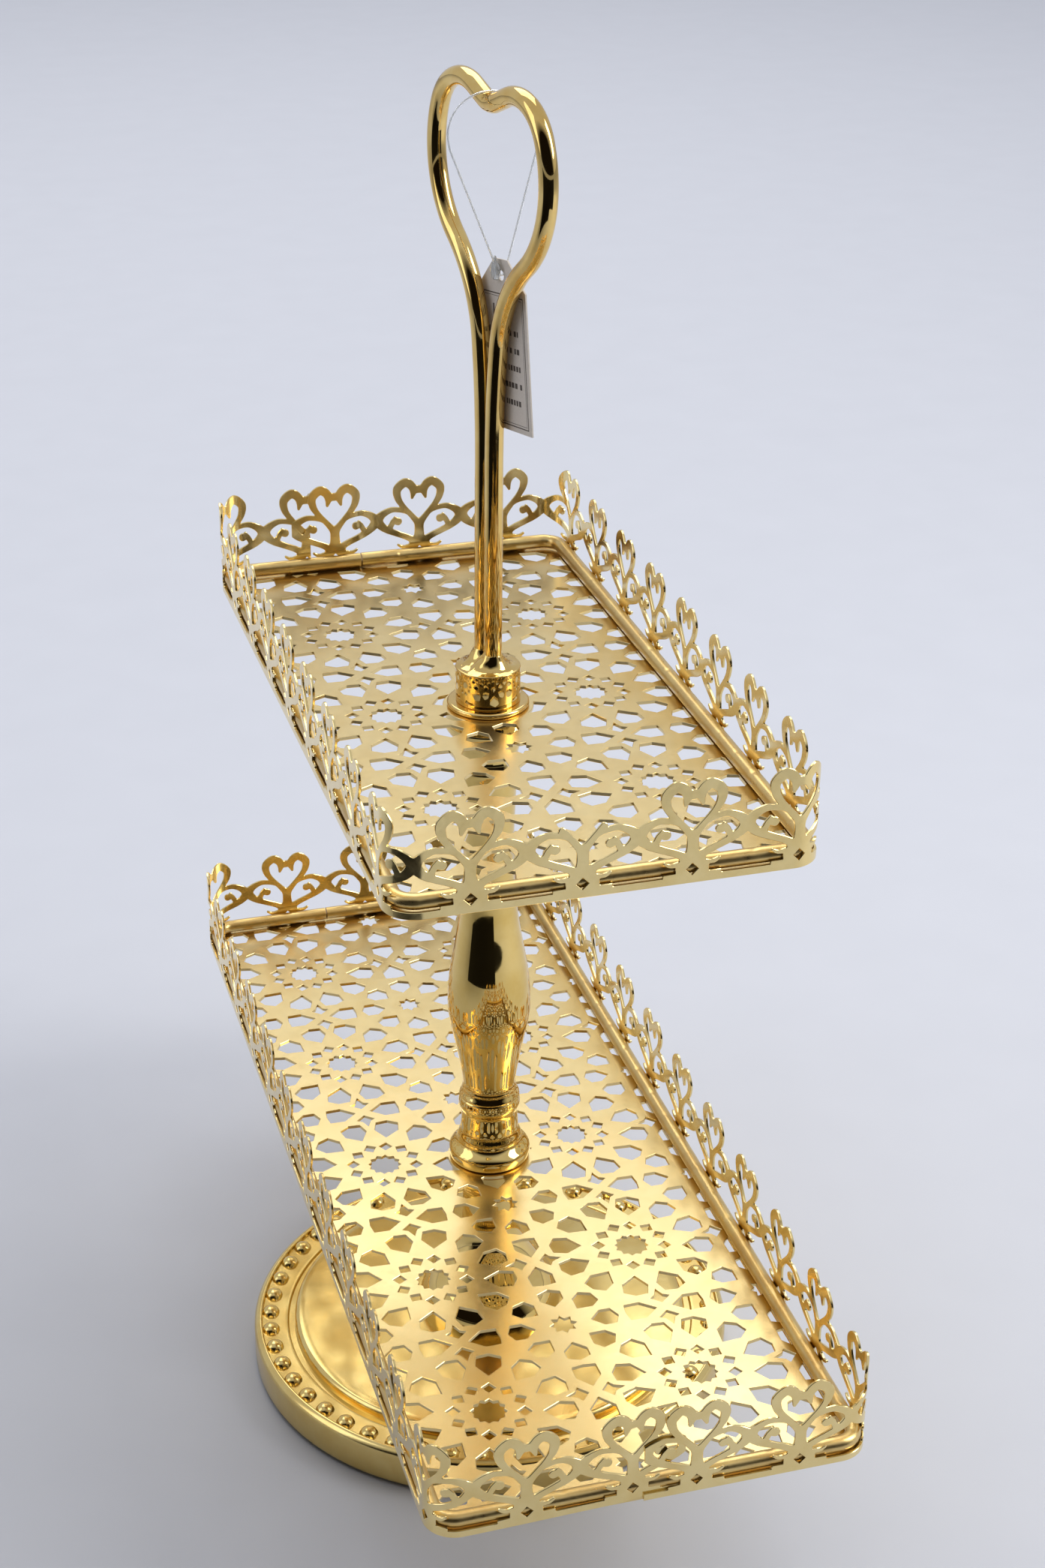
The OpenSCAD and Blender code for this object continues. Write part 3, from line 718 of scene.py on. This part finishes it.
# %% Draw the motif with swelling strokes
strip_h = 33.0
heart_stroke = [(0, 14.8, 2.8), (2.9, 18.4, 2.1), (6.2, 22.2, 2.1), (8.1, 25.4, 2.7), (8.3, 28.9, 3.3),
                (5.4, 31.3, 3.4), (2.9, 30.1, 3.3), (2.1, 27.8, 2.6), (2.6, 25.3, 1.1)]
upper_stroke = [(5.0, 19.9, 1.4), (7.6, 20.8, 1.8), (10.6, 21.1, 2.1), (13.5, 20.0, 2.6), (15.3, 18.6, 3.3),
                (16.5, 17.2, 4.0)]
lower_stroke = [(16.5, 17.2, 4.0), (14.6, 14.9, 3.2), (12.2, 13.2, 2.6), (8.2, 11.4, 2.3), (4.6, 9.9, 2.4),
                (1.5, 8.0, 2.8)]
curl_stroke = [(11.9, 13.3, 2.2), (10.9, 15.0, 2.0), (9.9, 16.5, 2.2), (8.2, 16.4, 3.0)]
bud_stroke = [(9.6, 16.9, 1.2), (9.4, 18.0, 0.9)]
stem_stroke = [(0, 6.2, 8.6), (0, 7.2, 6.2), (0, 8.6, 4.6), (0, 11.5, 3.7), (0, 14.0, 3.5), (0, 15.4, 3.4)]
foot_stroke = [(3.5, 6.3, 1.3), (6.6, 6.2, 1.3), (8.3, 7.1, 0.9)]
joint_stroke = [(0, 28.4, 3.0), (1.2, 28.6, 2.6)]


def stroke_distance(x, z, line):
    """Signed distance to a stroke with a width that changes along it."""
    best = np.full(x.shape, 99.0)
    for (x0, z0, w0), (x1, z1, w1) in zip(line, line[1:]):
        dx, dz = x1 - x0, z1 - z0
        t = np.clip(((x - x0) * dx + (z - z0) * dz) / max(dx * dx + dz * dz, 1e-9), 0, 1)
        best = np.minimum(best, np.hypot(x - x0 - t * dx, z - z0 - t * dz) - (w0 + (w1 - w0) * t) / 2)
    return best


def joined(a, b, k=0.7):
    """Union of two distances with a fillet of about k."""
    mix = np.clip(0.5 + (b - a) / (2 * k), 0, 1)
    return b + (a - b) * mix - k * mix * (1 - mix)


def box_distance(x, z, half_w, z0, z1):
    """Signed distance to a box about x = 0."""
    dx, dz = np.abs(x) - half_w, np.abs(z - (z0 + z1) / 2) - (z1 - z0) / 2
    return np.hypot(np.maximum(dx, 0), np.maximum(dz, 0)) + np.minimum(np.maximum(dx, dz), 0)


def motif_field(x, z, with_heart=True):
    """Distance field of one motif: negative inside the metal."""
    side = np.abs(x)
    strokes = [upper_stroke, lower_stroke, curl_stroke, foot_stroke, bud_stroke]
    if with_heart:
        strokes += [heart_stroke, joint_stroke]
    else:
        strokes += [heart_stroke[:3]]
    field = stroke_distance(side, z, flowing(stem_stroke))
    for stroke in strokes:
        field = joined(field, stroke_distance(side, z, flowing(stroke)))
    field = joined(field, box_distance(x, z, 5.1, 2, 7), 0.4)
    field = joined(field, box_distance(x, z, 8.9, 1, 3.4), 0.4)
    field = joined(field, box_distance(x, z, 99, 0, 2.3), 0.6)
    hole = (side + np.abs(z - 4.5) - 1.9) / math.sqrt(2)
    return np.maximum(field, -hole)


# %% [markdown]
# ## Trace the outline
# Marching squares walks the grid cell by cell, finds where the distance crosses zero on the cell's edges,
# and links the crossings to closed loops. Points that lie on a nearly straight run are dropped, so the
# mesh stays light.

# %% Marching squares
def trace(field, xs, zs):
    """Closed loops of the zero line, metal on the left."""
    inside = field < 0
    nx, nz = field.shape
    links = {}

    def crossing(i, j, k, m):
        a, b = field[i, j], field[k, m]
        t = a / (a - b)
        return (xs[i] + (xs[k] - xs[i]) * t, zs[j] + (zs[m] - zs[j]) * t)

    for i in range(nx - 1):
        for j in range(nz - 1):
            corner = [(i, j), (i + 1, j), (i + 1, j + 1), (i, j + 1)]
            state = [inside[c] for c in corner]
            if all(state) or not any(state):
                continue
            outs, ins = [], []
            for e in range(4):
                a, b = corner[e], corner[(e + 1) % 4]
                if inside[a] and not inside[b]:
                    outs.append(tuple(sorted((a, b))))
                elif inside[b] and not inside[a]:
                    ins.append(tuple(sorted((a, b))))
            for start, end in zip(outs, ins):
                links[start] = end
    loops = []
    while links:
        start, here = next(iter(links.items()))
        del links[start]
        loop = [crossing(*start[0], *start[1])]
        while here != start:
            loop.append(crossing(*here[0], *here[1]))
            here = links.pop(here)
        loops.append(np.array(loop))
    return [thinned(loop) for loop in loops if len(loop) > 8]


def thinned(loop, tolerance=0.03):
    """Drops the points of a closed loop that lie within tolerance of a straight run, run by run."""
    keep, count = [0], len(loop)
    while True:
        start = keep[-1]
        far = start + 1
        for end in range(start + 2, min(start + 16, count) + 1):
            a, b = loop[start], loop[end % count]
            chord = b - a
            size = max(np.linalg.norm(chord), 1e-9)
            offs = loop[start + 1:end] - a
            if np.max(np.abs(offs[:, 0] * chord[1] - offs[:, 1] * chord[0])) / size > tolerance:
                break
            far = end
        if far >= count:
            return loop[keep]
        keep.append(far)


def motif_loops(start, end, with_heart=True):
    """The outline of one motif between two cuts."""
    xs = np.linspace(start, end, round((end - start) / 0.25) + 1)
    xs = np.concatenate([[xs[0] - 1e-4], xs, [xs[-1] + 1e-4]])
    zs = np.concatenate([[-1e-4], np.linspace(0, strip_h + 0.4, 135)])
    x, z = np.meshgrid(xs, zs, indexing="ij")
    field = motif_field(x, z, with_heart)
    field[0], field[-1], field[:, 0] = 9, 9, 9
    return trace(field, xs, zs)


# %% [markdown]
# ## Bend the strip round a tray
# The stamped strip is bent round the tray's rounded corners and its ends overlap. Each motif is a flat
# tile whose x runs along the tray's edge; where the edge turns, the tile's points turn with it. Tiles at
# a corner are first sliced fine so that they bend smoothly. The end that lies inside steps in by the
# strip's thickness.

# %% Follow the tray's edge
corner_r = 10.0
strip_t = 0.8
step_in = 0.85  # how far an inner end steps in, the strip and a hair of air


def edge_place(s, depth, half_w, half_l):
    """World x, y of points a distance s along the tray's edge from the middle of its front, depth inwards."""
    a, b, q = half_w - corner_r, half_l - corner_r, corner_r * math.pi / 2
    t = np.mod(np.asarray(s, float) + a, around_of(half_w, half_l))
    depth = np.broadcast_to(depth, t.shape)
    place = np.zeros(t.shape + (2,))
    middles = [(0, -half_l), (half_w, 0), (0, half_l), (-half_w, 0)]
    start = 0.0
    for quarter, half_run in enumerate((a, b, a, b)):
        h = math.radians(90 * quarter)
        run, inward = np.array([math.cos(h), math.sin(h)]), np.array([-math.sin(h), math.cos(h)])
        here = t - start - half_run
        straight = np.abs(here) <= half_run + 1e-9
        place[straight] = (np.array(middles[quarter]) + here[straight, None] * run
                           + depth[straight, None] * inward)
        angle = (here - half_run) / corner_r
        bend = (angle > 0) & (angle < math.pi / 2)
        centre = np.array(middles[quarter]) + half_run * run + corner_r * inward
        swing = np.sin(angle)[..., None] * run - np.cos(angle)[..., None] * inward
        place[bend] = centre + ((corner_r - depth)[..., None] * swing)[bend]
        start += 2 * half_run + q
    return place


def around_of(half_w, half_l):
    """Length of the tray's outside edge."""
    return 4 * (half_w + half_l) - 8 * corner_r + 2 * math.pi * corner_r


# %% Bend the tiles into galleries
pitch = 33.0


def strip_tile(start=-pitch / 2, end=pitch / 2, with_heart=True, slice_mm=0.0):
    """Points (x, z, depth) and faces of one tile, sliced across for bending where asked."""
    points, faces = cut_sheet(motif_loops(start, end, with_heart), strip_t, 0.13, kept_x=(start, end))
    if not slice_mm:
        return points, faces
    work = bmesh.new()
    corners = [work.verts.new(p) for p in points]
    for f in faces:
        if len(set(f)) == len(f):
            try:
                work.faces.new([corners[j] for j in f])
            except ValueError:
                pass
    for cut in np.arange(start + slice_mm, end, slice_mm):
        everything = work.verts[:] + work.edges[:] + work.faces[:]
        bmesh.ops.bisect_plane(work, geom=everything, dist=1e-5, plane_co=(cut, 0, 0), plane_no=(1, 0, 0))
    work.verts.index_update()
    made = (np.array([v.co for v in work.verts]), [[v.index for v in f.verts] for f in work.faces])
    work.free()
    return made


def ramp(value, start, end):
    """Smooth step from 0 at start to 1 at end."""
    t = np.clip((value - start) / (end - start), 0, 1)
    return t * t * (3 - 2 * t)


def gallery(cad_name, piece, body, runs):
    """A gallery of tiles. Each run has its first place, way, count, warp, depth and lift; it may also have a
    joggle, a cut for its last tile, and plain tiles without a heart."""
    low, high = span(cad_name)
    half_w, half_l = high[0], high[1]
    points, faces, count = [], [], 0
    for run in runs:
        for k in range(run["count"]):
            centre = run["first"] + run["way"] * pitch * k
            last = k == run["count"] - 1
            start, end = (run["last_cut"] if last and "last_cut" in run else (-pitch / 2, pitch / 2))
            key = (start, end, k not in run.get("plain", ()))
            if key not in tiles:
                tiles[key] = strip_tile(*key), strip_tile(*key, slice_mm=0.8)
            u = centre + np.array([start, end])
            places = edge_place(run["warp"](np.linspace(*u, 9)), 0.0, half_w, half_l)
            sharp = np.ptp(places[:, 0]) > 0.01 and np.ptp(places[:, 1]) > 0.01
            tile_points, tile_faces = tiles[key][1 if sharp or run.get("joggle") and last else 0]
            u = centre + tile_points[:, 0]
            s = run["warp"](u)
            depth = tile_points[:, 2] + run["depth"](u)
            spot = edge_place(s, depth, half_w, half_l)
            z = low[2] + tile_points[:, 1] + run["lift"](u)
            points.append(np.column_stack([spot, z]))
            faces += [[count + j for j in f[::-1]] for f in tile_faces]
            count += len(tile_points)
    return make_piece(piece, np.concatenate(points), faces, strip_gold, body, [cad_name])


tiles = {}
# Lower strip: one length with its ends overlapped on the front; the end that comes round last lies inside.
lower_around = around_of(*span("lower_gallery")[1][:2])
lower_pitch = 32.93


def lower_warp(u):
    return 12.5 + (u - 12.5) * lower_pitch / pitch


lower_run = {"first": 12.5, "way": 1, "count": 31, "warp": lower_warp, "joggle": True,
             "depth": lambda u: step_in * ramp(lower_warp(u), lower_around - 12, lower_around - 5),
             "lift": lambda u: 0.9 * ramp(lower_warp(u), lower_around - 60, lower_around - 5)}
gallery("lower_gallery", "lower_scroll_strip", "lower_tray", [lower_run])

# Upper strip: two lengths meet on the back side, the left one cut through its last heart and lying
# outside. On the front side one heart has broken off, so only its scrolls stand there.
corner_at = 55.0


def upper_warp(u):
    """The strip draws up slightly where it was bent round the corners."""
    return np.interp(u, [-560, -corner_at, corner_at, 620], [-corner_at - 505 * 0.951, -corner_at, corner_at,
                                                              corner_at + 565 * 0.9748])


upper_first = 24.1
back_middle = 388.9  # half-way round the upper tray's edge, on its back side
lap_start = back_middle + 18
right_run = {"first": upper_first, "way": 1, "count": 13, "warp": upper_warp, "joggle": True,
             "depth": lambda u: step_in * ramp(upper_warp(u), lap_start - 12, lap_start - 4),
             "lift": lambda u: 0.5 * ramp(upper_warp(u), lap_start - 40, lap_start)}
left_run = {"first": upper_first - pitch, "way": -1, "count": 12, "warp": upper_warp, "plain": (0,),
            "last_cut": (-1.5, pitch / 2),
            "depth": lambda u: 0 * u, "lift": lambda u: 0 * u}
gallery("upper_gallery", "upper_scroll_strip", "upper_tray", [right_run, left_run])

# %% [markdown]
# ## The wire rails
# A 5 mm wire is bent round the tray inside the strip, its ends butted, and soldered at every plinth. The
# soldering tool and the bending jig leave small pinches. So the rail is a round section swept along the
# tray's edge with shallow dents, and it stays open by half a millimetre at the butt joint.

# %% Rails
rail_r = 2.5
rail_in = 3.35


def wire_rail(cad_name, gallery_name, piece, body, joint_s, seed):
    """A round wire along the tray's edge, dented and butted at joint_s."""
    low, high = span(cad_name)
    half_w, half_l = span(gallery_name)[1][:2]
    around = around_of(half_w, half_l)
    centre_z = (low[2] + high[2]) / 2
    draw = random.Random(seed)
    dents = [(at + draw.uniform(-2, 2), draw.uniform(0.8, 2.2), draw.uniform(0.06, 0.22))
             for at in np.arange(joint_s + 8, joint_s + around - 8, 16.5)]
    along_s = np.linspace(joint_s + 0.25, joint_s + around - 0.25, 1500)
    sides = 28
    turn = np.linspace(0, 2 * math.pi, sides, endpoint=False)
    points = []
    for s in along_s:
        near = [(at, side, size) for at, side, size in dents if abs(at - s) < 4]
        r = np.full(sides, rail_r)
        for at, side, size in near:
            r -= size * math.exp(-((s - at) / 1.1) ** 2) * np.exp(-((turn - side) / 0.45) ** 2)
        step = 0.12 if s > joint_s + around - 14 else 0.0
        spot = edge_place(np.full(sides, s), rail_in + step + (r - 0.02) * np.cos(turn), half_w, half_l)
        points.append(np.column_stack([spot, centre_z + step + (r - 0.06) * np.sin(turn)]))
    faces = sheet_faces(len(along_s), sides)
    faces += [tuple(range(sides))[::-1], tuple(range((len(along_s) - 1) * sides, len(along_s) * sides))]
    make_piece(piece, np.concatenate(points), faces, wire_gold, body, [cad_name])


wire_rail("lower_rail", "lower_gallery", "lower_wire_rail", "lower_tray", lower_around / 2 + 20, 3)
wire_rail("upper_rail", "upper_gallery", "upper_wire_rail", "upper_tray", back_middle + 13, 5)

# %% [markdown]
# ## Hang tag
# A die-cut card with a shouldered top hangs behind the rods from a clear nylon loop, whose moulded head
# snaps shut at the punched hole. The print is a border and rows of marks, made as a thin layer of ink
# over the board.

# %% Card, print, loop and lock
tag_drop = 47.5
tag_hole_down = 5.0
tag_front = 3.4
tag_t = 0.6
tag_w, tag_l = 28.0, 53.0
card_lean = math.radians(6)


def hang_place(points):
    """From the upright frame at the heart's notch to the stand's frame."""
    upright = Matrix.Rotation(-heart_lean, 3, "Y")
    return heart_place(np.asarray(points, float) @ np.array(upright).T)


def card_place(points):
    """From the card's own flat frame (x across, y up from the hole, depth behind) to the stand's frame."""
    c, s = math.cos(card_lean), math.sin(card_lean)
    x, y, d = np.asarray(points, float).T
    height = s * x + c * y - tag_drop - tag_hole_down
    return hang_place(np.column_stack([c * x - s * y, tag_front + d, height]))


def ring_loop(radius, steps):
    """A round hole's loop, clockwise, so that the metal or board lies on its left."""
    turn = -np.linspace(0, 2 * math.pi, steps, endpoint=False)
    return np.column_stack([radius * np.cos(turn), radius * np.sin(turn)])


top_y = tag_hole_down
card = np.array([(4, top_y), (-4, top_y), (-tag_w / 2, top_y - 9), (-tag_w / 2, top_y - tag_l),
                 (tag_w / 2, top_y - tag_l), (tag_w / 2, top_y - 9)], float)
card_points, card_faces = cut_sheet([card, ring_loop(1.6, 32)], tag_t, 0.05)
make_piece("tag_board", card_place(card_points), [f[::-1] for f in card_faces], board_finish, "tag",
           ["tag_card"])


def ink_patch(loops):
    """A patch of ink 0.03 mm thick on the card's front."""
    patch_points, patch_faces = cut_sheet(loops, 0.03, 0.004)
    return patch_points - (0, 0, 0.031), patch_faces


print_field = card.copy()
print_field[:2, 1] -= 9.0
patches = [ink_patch([inset(print_field, 1.6), inset(print_field, 1.95)[::-1]]),
           ink_patch([inset(print_field, 2.5), inset(print_field, 2.65)[::-1]])]
marks = random.Random(21)
for row, (height, start) in enumerate([(3.4, -6)] + 5 * [(1.7, -9.5)]):
    x, y = start, top_y - 17.5 - 5.4 * row
    while x < 8.5 - (4 if row == 0 else 0):
        w = marks.uniform(0.7, 1.6)
        bar = np.array([(x, y), (x + w, y), (x + w, y + height), (x, y + height)])
        patches.append(ink_patch([bar]))
        x += w + marks.choice([0.5, 0.5, 0.5, 1.6])
ink_points, ink_faces, count = [], [], 0
for patch_points, patch_faces in patches:
    ink_points.append(patch_points)
    ink_faces += [[count + j for j in f[::-1]] for f in patch_faces]
    count += len(patch_points)
make_piece("tag_print", card_place(np.concatenate(ink_points)), ink_faces, ink_finish, "tag")

loop_r, foot_r, wire_r = 13.5, 1.0, 0.35
loop_top = rod_r + wire_r + 0.05
fall = loop_top + tag_drop + tag_hole_down - foot_r
slope = math.degrees(math.asin((loop_r - foot_r) / (fall - loop_r)))
loop_path = []
for radius, drop, start, end, steps in ((loop_r, loop_r, -slope, 180 + slope, 80),
                                        (foot_r, fall, 180 + slope, 360 - slope, 16)):
    for a in np.linspace(start, end, steps):
        turn = math.radians(a)
        loop_path.append((radius * math.cos(turn), loop_top - drop + radius * math.sin(turn), a + 90))


def loop_place(points):
    """From the nylon loop's own frame to the stand's: turned to face outwards and tilted behind the rods."""
    swing = math.atan((rod_r + 0.4 + tag_t / 2) / (tag_drop + tag_hole_down))
    move = Matrix.Rotation(swing, 3, "X") @ Matrix.Rotation(math.radians(60), 3, "Z")
    return hang_place(np.asarray(points, float) @ np.array(move).T)


loop_points, loop_faces = tube(loop_path, wire_r, 12, closed=True)
make_piece("tag_nylon_loop", loop_place(loop_points), loop_faces, nylon_finish, "tag",
           ["tag_loop"])

lock_turn = np.linspace(0, 2 * math.pi, 32, endpoint=False)
lock_section = [(0.45, 5.2), (0.7, 4.7), (0.6, 4.2), (1.2, 3.4), (2.3, 2.5), (2.7, 1.2), (2.5, -0.4),
                (1.9, -1.6), (1.1, -2.1), (0.3, -2.2)]
lock_points = [(r * math.cos(a), 0.42 * r * math.sin(a), z) for r, z in lock_section for a in lock_turn]
lock_faces = sheet_faces(len(lock_section), 32)
lock_faces += [tuple(range(32))[::-1], tuple(range(32 * (len(lock_section) - 1), 32 * len(lock_section)))]
lock_at = np.array([-1.2, 2.0, -tag_drop - tag_hole_down + 0.8])
make_piece("tag_lock_head", hang_place(np.array(lock_points) + lock_at), [f[::-1] for f in lock_faces],
           nylon_finish, "tag", ["tag_lock"], crease=50)

# %% [markdown]
# ## Studio
# Polished metal shows only what stands round it. The floor is plain and pale; a dark room lies behind the
# viewer and soft boxes stand at the sides, which is what draws the dark and pale streaks down the rods
# and the column. The dark ground is two fan-shaped cards on the floor that only reflections see.

# %% Floor and dark cards
def studio_matt(name, low, high):
    """Matt paper with a faint mottle about 40 mm across."""
    finish, tree, shader, place = new_finish(name)
    mottle = node(tree, "ShaderNodeTexNoise", Vector=place, Scale=1 / (40 * MM), Detail=2.0)
    tone = blend_colour(tree, mottle.outputs["Fac"], low, high)
    tree.links.new(tone.outputs["Color"], shader.inputs["Base Color"])
    shader.inputs["Roughness"].default_value = 0.9
    shader.inputs["Specular IOR Level"].default_value = 0.1
    return finish


def fan(name, r_in, r_out, middle, half_angle, height, finish):
    """A flat fan-shaped card round the stand's axis, in metres and degrees."""
    turn = np.radians(np.linspace(middle - half_angle, middle + half_angle, 65))
    points = [(r * math.cos(a) / MM, r * math.sin(a) / MM, height) for r in (r_in, r_out) for a in turn]
    mesh = bpy.data.meshes.new(name)
    mesh.from_pydata((np.array(points) * MM).tolist(), [], sheet_faces(2, len(turn), wrap_columns=False))
    mesh.materials.append(finish)
    card_object = bpy.data.objects.new(name, mesh)
    scene.collection.objects.link(card_object)
    return card_object


floor_finish = studio_matt("pale_paper", "#CDCFD6", "#D1D3DA")
dark_finish = studio_matt("black_flock", "#0B0A09", "#120F0C")
fan("studio_floor", 0.0005, 30.0, 0, 180, 0.0, floor_finish)
viewer_way = math.degrees(math.atan2(-0.759, -0.209))
for name, r_in, swing, half_angle in (("room_card_near", 0.55, -22, 40), ("room_card_far", 0.8, 38, 20)):
    dark = fan(name, r_in, 5.9, viewer_way + swing, half_angle, 2.0, dark_finish)
    dark.visible_camera = False
    dark.visible_diffuse = False
    dark.visible_shadow = False

# A flag out of sight on the left keeps light off the near left floor, as the dark side of the room does.
flag = fan("shade_flag", 0.3, 1.1, 205, 40, 360.0, dark_finish)
flag.visible_camera = False
flag.visible_glossy = False

# %% World and lights
world = bpy.data.worlds.new("studio_room")
scene.world = world
world.use_nodes = True
sky = world.node_tree
background = sky.nodes["Background"]
way = node(sky, "ShaderNodeTexCoord").outputs["Generated"]
front = (math.cos(math.radians(viewer_way)), math.sin(math.radians(viewer_way)), -0.35)
facing = node(sky, "ShaderNodeVectorMath", {"operation": "DOT_PRODUCT"}, i0=way, i1=front)
room = node(sky, "ShaderNodeValToRGB", i0=facing.outputs["Value"])
room.color_ramp.elements[0].position = 0.25
room.color_ramp.elements[0].color = linear("#E6E9F2")
room.color_ramp.elements[1].position = 0.55
room.color_ramp.elements[1].color = linear("#1C1814")
seen = node(sky, "ShaderNodeLightPath").outputs["Is Camera Ray"]
# Behind the floor's far edge the camera sees one even tone; light and reflections keep the dark side.
shown = node(sky, "ShaderNodeMix", {"data_type": "RGBA"}, i0=seen, i6=room.outputs["Color"],
             i7=linear("#B4B8C4"))
sky.links.new(shown.outputs[2], background.inputs["Color"])
background.inputs["Strength"].default_value = 0.75


def soft_box(name, place, target, width, height, power, tint):
    """A rectangular soft box aimed at a point, in metres."""
    data = bpy.data.lights.new(name, "AREA")
    data.shape = "RECTANGLE"
    data.size, data.size_y = width, height
    data.energy = power
    data.color = linear(tint)[:3]
    lamp = bpy.data.objects.new(name, data)
    lamp.location = place
    lamp.rotation_euler = (Vector(target) - Vector(place)).to_track_quat("-Z", "Y").to_euler()
    scene.collection.objects.link(lamp)
    return lamp


soft_box("key_box", (1.15, -0.5, 1.1), (0, 0, 0.2), 0.5, 1.0, 12, "#FFFDF8")
soft_box("side_box", (-1.5, 0.1, 1.0), (0, 0, 0.2), 0.8, 1.3, 4, "#F4F7FF")
soft_box("top_box", (0.3, 1.7, 2.4), (0, 1.2, 0.0), 2.2, 2.2, 34, "#FFFFFF")

# %% [markdown]
# ## Camera
# The camera stands a little left of the front and looks down on the trays, as at a table.

# %% Camera and view
yaw, pitch_down, roll = (math.radians(v) for v in (16.248, 26.369, -0.195))
eye = Vector((-0.20936, -0.75922, 0.62154))
level = math.cos(pitch_down)
look = Vector((math.sin(yaw) * level, math.cos(yaw) * level, -math.sin(pitch_down)))
right = Vector((math.cos(yaw), -math.sin(yaw), 0))
down = look.cross(right)
right_rolled = right * math.cos(roll) + down * math.sin(roll)
down_rolled = down * math.cos(roll) - right * math.sin(roll)
lens = bpy.data.cameras.new("camera")
lens.sensor_width = 36
lens.lens = 60.36
lens.clip_start = 0.01
camera = bpy.data.objects.new("camera", lens)
camera.matrix_world = Matrix((right_rolled, -down_rolled, -look)).transposed().to_4x4()
camera.location = eye
scene.collection.objects.link(camera)
scene.camera = camera
scene.view_settings.view_transform = "Standard"
